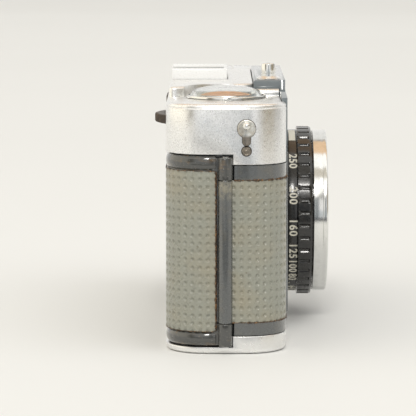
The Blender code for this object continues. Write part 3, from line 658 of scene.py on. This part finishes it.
def setting():
    """Pale floor, even pale surroundings, soft lights and panels for the reflections."""
    bpy.context.scene.view_settings.view_transform = "Standard"
    world = bpy.data.worlds.new("surroundings")
    world.use_nodes = True
    pale = world.node_tree.nodes["Background"].inputs
    pale["Color"].default_value = (1.0, 0.975, 0.925, 1)
    pale["Strength"].default_value = 0.46
    bpy.context.scene.world = world
    floor = object_of("floor", grid(8.0))
    look = Look("floor", (0.83, 0.83, 0.815), 0.7)
    look.tint((0.80, 0.80, 0.785), look.noise(300, 2))
    look.set(Specular_IOR_Level=0.1)
    floor.data.materials.append(look.made)
    floor.location = (0, 0, -0.0001)
    for name, kind, azimuth, elevation, size, power, colour in (
            ("lamp", "AREA", 2, 37, 0.52, 25.0, (1.0, 0.98, 0.94)),
            ("key", "SUN", 22, 72, 95, 1.05, (1.0, 0.98, 0.93)),
            ("side", "SUN", 78, 30, 70, 0.30, (1.0, 0.86, 0.64)),
            ("fill", "SUN", -60, 45, 60, 0.5, (0.98, 0.99, 1.0))):
        lamp = bpy.data.lights.new(name, kind)
        lamp.energy, lamp.color = power, colour
        if kind == "SUN":
            lamp.angle = math.radians(size)
        else:
            lamp.size = size
        face_middle(placed(name, lamp), azimuth, elevation, 3.0)
    for name, *panel in (
            ("high", 0, 82, 120, 22, (1.0, 0.99, 0.95), 1.3),
            ("wood", 0, 109, 90, 28, (0.86, 0.60, 0.38), 1.1),
            ("tan", 0, 61, 110, 15, (0.62, 0.57, 0.48), 1.1),
            ("room", 0, 7, 60, 27, (0.36, 0.375, 0.385), 1.8, 0.35),
            ("shelf", 46, 8, 13, 46, (0.50, 0.44, 0.33), 0.5),
            ("window", 92, 10, 70, 60, (1.0, 0.94, 0.80), 1.25),
            ("wall", -66, 8, 40, 46, (0.60, 0.52, 0.38), 0.6),
            ("top", 0, 13, 60, 16, (1.0, 0.99, 0.97), 0.95, 0.34),
            ("ring", -7.2, 5, 10, 36, (0.23, 0.25, 0.26), 1.0, 0.25),
            ("behind", 180, 24, 130, 56, (1.0, 0.99, 0.96), 0.92),
            ("edge", 0, -8.2, 70, 5.6, (0.10, 0.10, 0.11), 0.7, 0.17)):
        card("panel_" + name, *panel)


# Outer covers --------

def cover_outline_rows():
    """The cover's wall, a fine groove below its rim, and the rounded rim."""
    groove, rim = 56.66, 56.85
    return [(0.10, COVER_LOW), (0.0, COVER_LOW + 0.15), (0.0, groove - 0.21),
            (0.10, groove - 0.11), (0.16, groove), (0.10, groove + 0.11),
            (0.03, rim)] + rounded(0.88, rim, 0.85, 180, 90, 6)


def raised_block(inset, top, floor):
    """The raised middle, with its oblique end towards the counter."""
    bm = bmesh.new()
    bmesh.ops.create_cube(bm, size=1.0)
    for vertex in bm.verts:
        x, y, z = vertex.co
        vertex.co = (31 - inset, 13.6 - inset if y > 0 else inset - 13.7,
                     top - inset if z > 0 else floor)
        if x < 0:
            vertex.co.x = -19.6 - 17.7 * (vertex.co.y + 13.7) / 27.3 + inset
    upright = [e for e in bm.edges if (e.verts[0].co.xy - e.verts[1].co.xy).length < 1e-6]
    round_edges(bm, upright, 3.0 - inset, 10)
    upper = [e for e in bm.edges if all(abs(v.co.z - top + inset) < 1e-4 for v in e.verts)]
    round_edges(bm, upper, 0.4 if inset else 0.9, 6)
    return cut(bm, rod(10.1 + inset, (*COUNTER, floor - 1), (*COUNTER, top + 1), 96))


def top_cover():
    shell = loft([[(*point, z) for point in plan(inset)] for inset, z in cover_outline_rows()])
    cavity = loft([[(*point, z) for point in plan(SHEET)] for z in (40.0, LOW_TOP - SHEET)])
    shoulder = block((-30.1, -12.6, 57.2), (-25.0, -7.0, 59.2))
    edges = [e for e in shoulder.edges if min(v.co.z for v in e.verts) > 59
             and max(v.co.x for v in e.verts) < -30]
    round_edges(shoulder, edges, 1.0, 8)
    shell = fuse(shell, raised_block(0.0, RAISED_TOP, 50.0), shoulder)
    shell = cut(shell, raised_block(SHEET, RAISED_TOP, 47.0), cavity,
                block((-60, SPLIT_Y, 40), (60, 20, COVER_STEP)),
                block((-27.7, -20, 56.0), (27.7, -6.4, 65)),
                block((-49.2, -20, 40), (44.2, -12.65, 62)),
                block((-48.95, 12.0, 52.0), (-29.05, 20, 54.7)),
                rod(8.3, (*COUNTER, 50), (*COUNTER, 65), 96),
                rod(2.5, (*REWIND, 50), (*REWIND, 65)),
                block((-5.4, 11, 49.4), (5.4, 20, 56.2)),
                block((-10.7, -0.6, 58.0), (10.7, 12.5, 65)),
                block((-10.7, 12.0, 59.45), (10.7, 20, 65)))
    fixed("top_cover_pressing", shell, SATIN, ["top_cover"], "satin_chrome", soften=0.09)


def base():
    rim, corner = BASE[1].z, 1.1
    rows = rounded(corner, corner, corner, 270, 180, 8) + [(0.0, rim - 0.15), (0.12, rim)]
    tray = loft([[(*point, z) for point in plan(inset)] for inset, z in rows])
    hollow = loft([[(*point, z) for point in plan(1.0)] for z in (1.3, 9.0)])
    tray = cut(tray, hollow, block((-60, SPLIT_Y, 1.5), (60, 20, 9)),
               rod(6.2, (*BUSH, -1), (*BUSH, 3), 72), rod(2.8, (*RELEASE, -1), (*RELEASE, 3)),
               *(rod(1.9, (x, -8, -1), (x, -8, 3)) for x in (-46, 46)))
    fixed("base_pressing", tray, PLAIN_SATIN, ["base_plate"], "satin_chrome", soften=0.08)


def fascia():
    top, front = span("front_fascia")[1].z, -span("front_fascia")[0].y
    outline = [(-49, 43.9), (44, 43.9), (44, 58.3), (28, top), (-27.5, top), (-28.0, 58.9),
               (-49, 58.5)]
    plate = loft([[(x, y, z) for x, z in outline] for y in (-front, -12.85)])
    housing = block((-27.5, -13.95, 56.2), (27.5, -6.6, top))
    edges = [e for e in housing.edges if all(v.co.z > top - 0.01 for v in e.verts)]
    round_edges(housing, edges, 0.7, 6)
    shape = cut(fuse(plate, housing), block((-26.6, -12.6, 50), (26.6, -7.4, top - 0.9)),
                rod(2.05, (*BUTTON, 55), (*BUTTON, 65)),
                block((-6.7, -20, 49.0), (6.7, -10, 56.6)),
                block((9.3, -20, 50.0), (15.7, -10, 55.6)))
    fixed("fascia_moulding", shape, FASCIA, ["front_fascia"], "blue_grey_gloss", soften=0.22)


def front_plate():
    # The satin chrome plate is given a dark grey look: a painted dark reflection.
    panel = cut(block(*span("front_panel"), 0.35, 4),
                rod(17.2, (0, -20, LENS[2]), (0, -10, LENS[2]), 96))
    fixed("front_plate", panel, PLATE_DARKENED, ["front_panel"], "satin_chrome", soften=0.1)


def coverings():
    opening = block((56, -6.2, 16.5), (60, -0.6, 34.6))        # for the latch
    for side, label, window in ((-1, "hinge_side", None), (1, "latch_side", opening)):
        covering(label, HIDE_END_Y, False, HIDE_END_X, HIDE_LOW, HIDE_HIGH, "camera_body",
                 "leather_" + label, side, window)
    covering("door", 2.5, True, None, DOOR_HIDE_LOW, DOOR_HIDE_HIGH, "door",
             "door_leatherette")


def residue():
    """Old glue that has crept out along the edges of the covering."""
    for name, body, inset, start, rear, end_x, z, size, seed in (
            ("front_top", "camera_body", 0.04, HINGE.y - HINGE_R - 0.2, False, HIDE_END_X,
             HIDE_HIGH + 0.04, 0.21, 3.1),
            ("front_low", "camera_body", 0.04, HIDE_END_Y + 0.1, False, HIDE_END_X,
             HIDE_LOW - 0.03, 0.14, 7.7),
            ("door_top", "door", 0.05, 2.6, True, 40.0, DOOR_HIDE_HIGH + 0.03, 0.09, 1.3),
            ("door_low", "door", 0.05, 2.6, True, 40.0, DOOR_HIDE_LOW - 0.03, 0.08, 5.9)):
        path = [(*point, z) for point, _, _ in stations(inset, start, rear, end_x, 0.9)]
        bead("glue_" + name, path, size, body, seed)
    count = int((DOOR_HIDE_HIGH - DOOR_HIDE_LOW) / 0.25)
    edge = [(-57.42, 2.38, DOOR_HIDE_LOW + (DOOR_HIDE_HIGH - DOOR_HIDE_LOW) * n / count)
            for n in range(count + 1)]
    bead("glue_door_side", edge, 0.2, "door", 9.2, 0.4)


# The door --------

def door():
    low, high = DOOR[0].z, DOOR[1].z
    thick, proud, inner = 2.0, 0.85, 0.62
    sheet = [(inner, low + 0.6), (inner, high - 0.6), (1.5, high - 0.6), (1.5, low + 0.6)]
    piece("door_sheet", upright_sweep(sheet, 2.2), ENAMEL, "door", ["door_shell"],
          "door_enamel", soften=0.1)
    for label, z_low, z_high in (("low", low, DOOR_HIDE_LOW - 0.12),
                                 ("high", DOOR_HIDE_HIGH + 0.12, high)):
        half = (z_high - z_low) / 2
        bulge = [(proud - proud * math.cos(t), z_low + half + half * math.sin(t))
                 for t in (math.radians(a) for a in (*range(-82, 0, 18), *range(10, 83, 18)))]
        section = [(proud, z_low)] + bulge + [(proud, z_high), (thick, z_high), (thick, z_low)]
        piece("door_rail_" + label, upright_sweep(section, 2.3), ENAMEL, "door",
              slot="door_enamel", soften=0.25, smooth=50)
    knuckles = []
    bore, edge = 0.95, 0.25
    for z_low, z_high in ((low, 7.1), (40.3, 45.5)):
        profile = [(bore, z_high)] + rounded(HINGE_R - edge, z_high - edge, edge, 90, 0) \
            + rounded(HINGE_R - edge, z_low + edge, edge, 0, -90) + [(bore, z_low)]
        knuckles.append(turned(profile, (*HINGE, 0), steps=64))
        knuckles.append(block((HINGE.x + 0.1, HINGE.y + 1.1, z_low + 0.2),
                              (-56.27, 3.37, z_high - 0.2), 0.1))
    piece("door_knuckles", merged(knuckles), ENAMEL, "door", slot="door_enamel")


# Lens and rings --------

def on_ring(radius, front, start):
    """Wraps flat text round a ring: reading down the -X side, tops towards the front."""
    def put(x, y, z):
        angle = math.radians(start) - x / radius
        reach = radius + z
        return Vector((-reach * math.cos(angle), front - y, LENS[2] + reach * math.sin(angle)))
    return put


def lens():
    outer, near, far = ring_of("scale_ring")
    edge = 0.15
    profile = [(RING_BORE, far)] + rounded(outer - edge, far - edge, edge, 90, 0, 3) \
        + rounded(outer - edge, near + edge, edge, 0, -90, 3) + [(RING_BORE, near)]
    piece("scale_ring_turned", turned(profile, LENS, "-Y", 160), BLACK, "speed_ring",
          ["scale_ring"], "black_anodised")
    middle = -(near + far) / 2
    marks = {"400": 107, "250": 43, "200": 16.6, "160": -5.6, "125": -23.2, "100": -36.5,
             "80": -48.5, ".": -56.5, "64": -66, "50": -77, "40": -88, "32": -99, "25": -110}
    shapes = [lettering(text, 2.7, on_ring(outer, middle, angle), 0.06)
              for text, angle in marks.items()]
    piece("scale_numbers", merged(shapes), CREAM, "speed_ring", slot="cell_window")
    patch = block((-3.7, -0.8, 0.0), (3.7, 0.8, 0.05))
    bmesh.ops.subdivide_edges(patch, edges=patch.edges[:], cuts=7, use_grid_fill=True)
    for vertex in patch.verts:
        vertex.co = on_ring(outer, middle, 75)(*vertex.co)
    piece("scale_index", patch, CREAM, "speed_ring", slot="cell_window")
    grip_ring()
    front_ring()
    cell_and_glass()


def grip_ring():
    """Ring with grooves cut across it; the groove floors carry a light grey painted highlight."""
    outer, near, far = ring_of("grip_ring")
    grooves, depth, lip = 42, 0.40, 0.6
    far -= 0.5

    def grooved(angle, radius, height):
        if radius < outer - 0.3:
            return radius
        off = abs((grooves * angle / math.tau) % 1.0 - 0.5)
        inside = min(1.0, max(0.0, (height - near - 0.1) / 0.2),
                     max(0.0, (far - lip - height) / 0.1))
        return radius - depth * inside * max(0.0, 1 - (off / 0.15) ** 4)

    wall = [(outer, near + (far - lip - near) * n / 12) for n in range(12, -1, -1)]
    profile = [(RING_BORE, far), (20.3, far), (20.8, far - 0.1), (outer - 0.05, far - 0.5)] \
        + wall + [(RING_BORE, near)]
    made = piece("grip_ring_ribbed", turned(profile, LENS, "-Y", grooves * 16, grooved), BLACK,
                 "speed_ring", ["grip_ring"], "black_anodised", smooth=40)
    # Faces deep in the grooves take the light grey: a painted highlight.
    made.data.materials.append(GROOVE_HIGHLIGHT)
    for face in made.data.polygons:
        reach = math.hypot(face.center.x / MM, face.center.z / MM - LENS[2])
        face.material_index = int(21.0 < reach < outer - 0.15)


def front_ring():
    outer, near, far = ring_of("front_ring")
    near -= 0.45
    cuts = [(18.58 + 0.1 * n + 0.12 * (n % 2), far - 0.04 * (n % 2)) for n in range(9)]
    profile = [(RING_BORE, far - 0.35), (18.4, far - 0.02)] + cuts \
        + rounded(outer - 0.45, far - 0.45, 0.45, 90, 0, 6) \
        + [(outer - 0.02, far - 1.1), (outer - 0.05, far - 1.2), (outer - 0.02, far - 1.3),
           (outer - 0.1, near + 0.15), (outer - 0.25, near), (RING_BORE, near)]
    fixed("front_ring_turned", turned(profile, LENS, "-Y", 192), TURNED, ["front_ring"],
          "bright_chrome")


def cell_and_glass():
    """The light cell's ring of small lenses round the lens itself."""
    _, near, far = ring_of("cell_window")
    pitch = 1.15
    high = pitch * 0.866                    # between rows of small lenses
    face = far - 0.3

    def swell(across, up):
        row = round(up / high)
        shift = 0.5 * (row % 2)
        column = round(across / pitch - shift)
        away = math.hypot(across - (column + shift) * pitch, up - row * high)
        return math.sqrt(max(0.0, 1 - (away / (pitch * 0.56)) ** 2))

    bm = turned([(9.3, near), (9.3, face)] + [(9.35 + 5.3 * n / 26, face) for n in range(27)]
                + [(14.7, face), (14.7, near)], LENS, "-Y", 300)
    for vertex in bm.verts:
        if abs(vertex.co.y + face) < 0.01:
            vertex.co.y -= 0.28 * swell(vertex.co.x, vertex.co.z - LENS[2])
    fixed("cell_window_beaded", bm, CELL, ["cell_window"], "cell_window", smooth=60)
    ribs = [(6.3 + 0.2 * (n % 2), 22.9 + 0.2 * n) for n in range(6)]
    cell = [(6.3, 24.3), (6.5, 24.3), (9.0, 24.3), (9.1, 24.2), (9.1, 14.7), (5.2, 14.7),
            (5.2, 18.0), (6.3, 18.0)] + ribs
    fixed("lens_cell_turned", turned(cell, LENS, "-Y", 128), BLACK, ["lens_cell"],
          "black_anodised")
    bulge = [(6.1 * math.sin(t), 21.4 + 1.5 * math.cos(t))
             for t in (math.pi / 2 * n / 12 for n in range(13))]
    fixed("front_glass", turned(bulge + [(6.1, 19.2), (0, 19.2)], LENS, "-Y", 96), GLASS,
          ["front_element"], "clear_glass")


# Top fittings --------

def domed(reach, crown, drop):
    """Profile of the counter's dome: nearly flat, then falling steeply."""
    return [(reach * n / 22, crown - drop * (1 - (1 - (n / 22) ** 3.4) ** 0.5))
            for n in range(22)]


def counter():
    low, high = span("counter_bezel")
    outer, bore, edge = (high.x - low.x) / 2, 8.9, 0.25
    profile = [(bore, high.z)] + rounded(outer - edge, high.z - edge, edge, 90, 0, 6) \
        + [(outer, low.z + 0.1), (outer - 0.1, low.z), (bore, low.z)]
    fixed("counter_rim", turned(profile, (*COUNTER, 0), steps=128), CHROME,
          ["counter_bezel"], "bright_chrome")
    crown, seat = span("counter_window")[1].z, span("counter_window")[0].z
    outside = domed(8.7, crown, crown - seat - 0.3) + [(8.7, seat + 0.3), (8.7, seat)]
    inside = domed(7.6, crown - 0.8, crown - seat - 1.0) + [(7.6, seat)]
    fixed("counter_dome", turned(outside + inside[::-1], (*COUNTER, 0), steps=96), GLASS,
          ["counter_window"], "clear_glass", smooth=60)
    # An orange arc just under the front of the dome, seen through it: a painted reflection of an
    # orange light overhead.
    arc, reach, under = [], 8.35, crown - 1.75
    for step in range(25):
        turn = math.radians(180 + 46 - 92 * step / 24)
        full = max(0.05, 1 - abs(step / 12 - 1) ** 2.5)
        arc.append([(COUNTER.x + r * math.cos(turn), COUNTER.y + r * math.sin(turn), z)
                    for r, z in ((reach - 1.25 * full, under + full),
                                 (reach - 0.4 * full, under + 0.62 * full),
                                 (reach, under), (reach - 0.35, under - 0.1),
                                 (reach - 0.35 - 0.4 * full, under - 0.1 + 0.5 * full),
                                 (reach - 0.35 - 1.1 * full, under - 0.1 + 0.88 * full))])
    fixed("counter_painted_reflection_arc", loft(arc), ORANGE_REFLECTION, slot="cell_window")
    counter_dial()


def counter_dial():
    top = span("counter_dial")[1].z
    face = [(0, top - 0.12), (7.0, top - 0.12), (7.2, top - 0.05), (7.4, top - 0.15),
            (7.4, top - 0.5), (0.8, top - 0.5), (0.8, 55.1), (0, 55.1)]
    piece("counter_disc", turned(face, (*COUNTER, 0), steps=96), BLACK, "counter_dial",
          ["counter_dial"], "dark_plastic")
    marks = []
    for number in range(36):
        tick = block((5.9 if number % 5 else 5.4, -0.07, top - 0.16),
                     (6.8, 0.07, top - 0.07))
        bmesh.ops.rotate(tick, verts=tick.verts,
                         matrix=Matrix.Rotation(math.tau * number / 36, 3, "Z"))
        marks.append(tick)
    for number in range(8):
        turn = Matrix.Rotation(math.tau * number / 8, 3, "Z")
        marks.append(lettering(str(10 * number), 2.0,
                               lambda x, y, z: turn @ Vector((x, y + 4.1, z + top - 0.1))))
    disc = merged(marks)
    bmesh.ops.translate(disc, vec=(*COUNTER, 0), verts=disc.verts)
    piece("counter_marks", disc, CREAM, "counter_dial", slot="cell_window")


def button():
    top = span("shutter_button")[1].z
    dish = [(1.15 * n / 5, top - 0.42 + 0.30 * (n / 5) ** 2) for n in range(6)]
    profile = dish + rounded(1.45, top - 0.3, 0.3, 110, 0, 6) \
        + [(1.75, 62.9), (1.6, 62.8), (1.6, 62.6), (1.75, 62.5), (1.75, 54.6), (0, 54.6)]
    piece("release_button", turned(profile, (*BUTTON, 0), steps=72), CHROME,
          "shutter_button", ["shutter_button"], "bright_chrome")
    low, high = (corner.z for corner in span("shutter_collar"))
    collar = [(1.98, high - 0.08), (2.05, high), (2.2, high), (2.35, high - 0.12),
              (2.75, low + 0.2), (2.9, low + 0.1), (2.9, low), (1.98, low)]
    fixed("release_collar", turned(collar, (*BUTTON, 0), steps=72), SATIN,
          ["shutter_collar"], "bright_chrome")


def shoe():
    low, high = span("hot_shoe")
    body = block(low, high, 0.3, 3)
    body = cut(body, block((-9.35, 0.5, 60.1), (9.35, 20, 62.1)),
               block((-6.3, 0.5, 61.0), (6.3, 20, 65)),
               *(rod(0.8, (x, y, 59.9), (x, y, 61)) for x in (-7.6, 7.6) for y in (3.0, 10.0)))
    fixed("accessory_shoe", body, BRIGHT, ["hot_shoe"], "steel", soften=0.14)
    spot = [(0, 60.6), (1.3, 60.6), (1.45, 60.55), (1.6, 60.4), (2.2, 60.35), (2.2, 60.2),
            (0, 60.2)]
    fixed("shoe_contact", turned(spot, (0, 6.5, 0)), BRASS, ["hot_shoe_contact"], "brass")


def strap_lug(side, label):
    """Keyhole plate with a raised rim, ball stud and rivet; plate and rivet are ringed with
    painted shade.
    """
    head, neck, foot_z = 2.07, 0.9, 49.1
    wall = side * HALF_WIDTH
    outward = "X" if side > 0 else "-X"

    def keyhole(shrink):
        round_r, neck_r = head - shrink, neck - shrink
        open_by = math.asin(neck_r / round_r)
        upper = [open_by - math.pi / 2 + (math.tau - 2 * open_by) * n / 48 for n in range(49)]
        lower = [math.pi + math.pi * n / 16 for n in range(1, 16)]
        return [(LUG.x + round_r * math.cos(t), LUG.y + round_r * math.sin(t)) for t in upper] \
            + [(LUG.x + neck_r * math.cos(t), foot_z + neck_r * math.sin(t)) for t in lower]

    def starred(angle, radius, _):
        return radius - (0.10 * (0.5 + 0.5 * math.cos(8 * angle)) if 0.4 < radius < 0.8 else 0)

    def layers(rows):
        return loft([[(wall + side * out, y, z) for y, z in keyhole(shrink)]
                     for shrink, out in rows])

    # A near-black ring just outside the plate's outline: painted shade at its edge.
    fixed("lug_shade_outline_" + label, layers([(-0.13, -0.1), (-0.13, 0.04)]), PAINTED_SHADE, slot="dark_plastic")
    plate = layers([(0.0, 0.1), (0.0, 0.5), (0.1, 0.62), (0.25, 0.66), (0.45, 0.6)])
    fixed("lug_plate_" + label, plate, LUG_METAL, ["strap_lug_" + label], "bright_chrome",
          smooth=50)
    stud = rounded(0, 1.18, 0.92, 90, -54, 14) + [(0.5, 0.2), (0, 0.2)]
    fixed("lug_ball_" + label, turned(stud, (wall, LUG.x, LUG.y + 0.7), outward, 48),
          CHROME, ["lug_stud_" + label], "bright_chrome", smooth=60)
    # rim is a thin near-black ring round the rivet: painted shade at its edge.
    rim = [(1.24, 0.0), (1.24, 0.04), (0.6, 0.04), (0.6, 0.0)]
    rivet = [(0, 0.75), (0.35, 0.72), (0.5, 0.62), (0.62, 0.45), (0.72, 0.42), (0.84, 0.5),
             (0.97, 0.42), (1.05, 0.25), (1.05, 0.08), (0, 0.08)]
    foot = (wall, LUG.x, RIVET_Z)
    fixed("lug_screw_shade_outline_" + label, turned(rim, foot, outward, 32), PAINTED_SHADE, slot="dark_plastic")
    fixed("lug_screw_" + label, turned(rivet, foot, outward, 64, starred), LUG_METAL,
          ["lug_rivet_" + label], "bright_chrome", smooth=50)


def ridged(start, count, depth, power=1.0):
    """Ridges for turned(), from a start radius outwards."""
    def shape(angle, radius, _):
        if radius < start:
            return radius
        return radius - depth * (0.5 - 0.5 * math.cos(count * angle)) ** power
    return shape


def thumbwheel():
    low, high = span("thumbwheel")
    outer, teeth, shaft_r = (high.y - low.y) / 2, 90, 1.65
    profile = [(shaft_r, high.z - 0.3), (12.2, high.z - 0.3), (12.6, high.z),
               (outer - 0.5, high.z), (outer - 0.12, high.z - 0.12), (outer, high.z - 0.35),
               (outer, (low.z + high.z) / 2), (outer, low.z + 0.35),
               (outer - 0.12, low.z + 0.12), (outer - 0.5, low.z), (shaft_r, low.z)]
    wheel = turned(profile, (*WHEEL, 0), steps=teeth * 8,
                   shape=ridged(outer - 0.25, teeth, 0.34, 0.7))
    piece("thumbwheel_serrated", wheel, PLASTIC, "wind", ["thumbwheel"], "dark_plastic",
          smooth=45)


def rewind():
    low, high = span("rewind_knob")
    outer, teeth = (high.x - low.x) / 2, 60
    x, y = REWIND
    profile = [(0, high.z), (outer - 0.5, high.z), (outer - 0.25, high.z - 0.08),
               (outer, high.z - 0.35), (outer, low.z + 0.3), (outer - 0.2, low.z + 0.1),
               (outer - 0.3, low.z), (0, low.z)]
    knob = cut(turned(profile, (x, y, 0), steps=teeth * 6,
                      shape=ridged(outer - 0.05, teeth, 0.22)),
               block((x - 10, y - 2.5, 58.6), (x + 10, y + 2.5, 62)))
    piece("rewind_knob_milled", knob, CHROME, "rewind_spin", ["rewind_knob"], "bright_chrome",
          soften=0.06)
    grip_x = x + 5.4
    grip = turned([(0, 59.6), (1.9, 59.6), (1.9, 59.0), (1.7, 58.8), (0, 58.8)],
                  (grip_x, y, 0), steps=48)
    crank = cut(fuse(block((x - 5.9, y - 2.2, 59.2), (x + 7.8, y + 2.2, 59.9), 0.15, 2), grip),
                rod(1.1, (grip_x, y, 59.6), (grip_x, y, 61)))
    piece("rewind_lever", crank, CHROME, "rewind_crank", ["rewind_crank"], "bright_chrome",
          soften=0.05)


def eyepiece():
    surround = cut(block(*span("eyepiece_frame"), 0.5, 4),
                   block((-3.8, 10, 50.6), (3.8, 20, 55.0), 0.3))
    fixed("eyepiece_surround", surround, PLASTIC, ["eyepiece_frame"], "dark_plastic", soften=0.1)
    for name, node in (("finder_pane", "finder_window"), ("bright_pane", "bright_window"),
                       ("eyepiece_pane", "eyepiece_lens")):
        fixed(name, block(*span(node), 0.2), GLASS, [node], "clear_glass")


def latch():
    low, high = span("door_latch")
    bar = block(low, (HALF_WIDTH + 0.4, high.y, high.z), 0.2)
    grip = block((HALF_WIDTH, -5.2, 25.5), (high.x, -1.6, 28.5), 0.25)
    grooves = [block((high.x - 0.25, -6, z), (high.x + 1, 0, z + 0.25))
               for z in (26.1, 26.7, 27.3, 27.9)]
    piece("latch_slide", cut(fuse(bar, grip), *grooves), CHROME, "door_latch",
          ["door_latch"], "bright_chrome", soften=0.05)


def base_fittings():
    """Tripod bush with its thread, rewind release and slotted screws."""
    pitch, groove_r, crest_r = 0.45, 3.42, 3.18
    thread = [(crest_r if n % 2 == 0 else groove_r, 0.35 + n * pitch / 2) for n in range(20)]
    profile = [(0, 5.9), (5.0, 5.9), (5.0, 1.2), (6.0, 1.2), (6.0, 0.25), (5.75, 0.0),
               (3.5, 0.0)] + thread + [(crest_r, 4.9), (0, 4.9)]
    fixed("tripod_bush_threaded", turned(profile, (*BUSH, 0)), BRASS, ["tripod_bush"], "brass")
    shape = [(0, 6.2), (1.3, 6.2), (1.3, 1.2), (2.5, 1.2), (2.5, 0.4), (2.3, 0.2),
             (1.2, 0.3), (0, 0.34)]
    piece("release_stud", turned(shape, (*RELEASE, 0), steps=64), CHROME, "rewind_release",
          ["rewind_release"], "bright_chrome")
    head = [(0, 3.8), (0.9, 3.8), (0.9, 1.1), (1.7, 1.1), (1.7, 0.45), (1.5, 0.25),
            (0.8, 0.2), (0, 0.2)]
    for label, x in (("a", -46), ("b", 46)):
        screw = cut(turned(head, (x, -8, 0), steps=48),
                    block((x - 3, -8.2, -1), (x + 3, -7.8, 0.6)))
        fixed("base_screw_head_" + label, screw, STEEL, ["base_screw_" + label], "steel",
              soften=0.04)


# Carried-over CAD nodes --------

CARRIED = {
    "body_casting": CASTING, "lens_barrel": BLACK, "shutter_housing": PLASTIC,
    "selenium_cell": STEEL, "rear_element": GLASS, "shutter_blade_a": STEEL,
    "shutter_blade_b": STEEL, "wind_gear": BRASS, "sprocket_gear": BRASS,
    "wind_shaft": STEEL, "takeup_spool": PLASTIC, "film_sprocket": STEEL,
    "rewind_collar": BRASS, "rewind_shaft": STEEL, "door_catch": STEEL,
    "pressure_spring": STEEL, "pressure_plate": BLACK, "hinge_pin": STEEL,
    "meter_movement": BRASS, "finder_tube": PLASTIC}


def carried():
    """Materials and smooth shading for the CAD nodes that stay."""
    for name, look in CARRIED.items():
        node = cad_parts[name]
        for place in node.material_slots:
            place.material = look
        node.data.shade_smooth()
        if node.data.has_custom_normals:
            node.data.attributes.remove(node.data.attributes["custom_normal"])
        weld = node.modifiers.new("weld", "WELD")
        weld.merge_threshold = 1e-6
        split = node.modifiers.new("crease", "EDGE_SPLIT")
        split.split_angle, split.use_edge_sharp = math.radians(32), False


camera()
setting()
top_cover()
base()
fascia()
front_plate()
coverings()
residue()
door()
lens()
counter()
button()
shoe()
strap_lug(-1, "hinge_side")
strap_lug(1, "latch_side")
thumbwheel()
rewind()
eyepiece()
latch()
base_fittings()
carried()
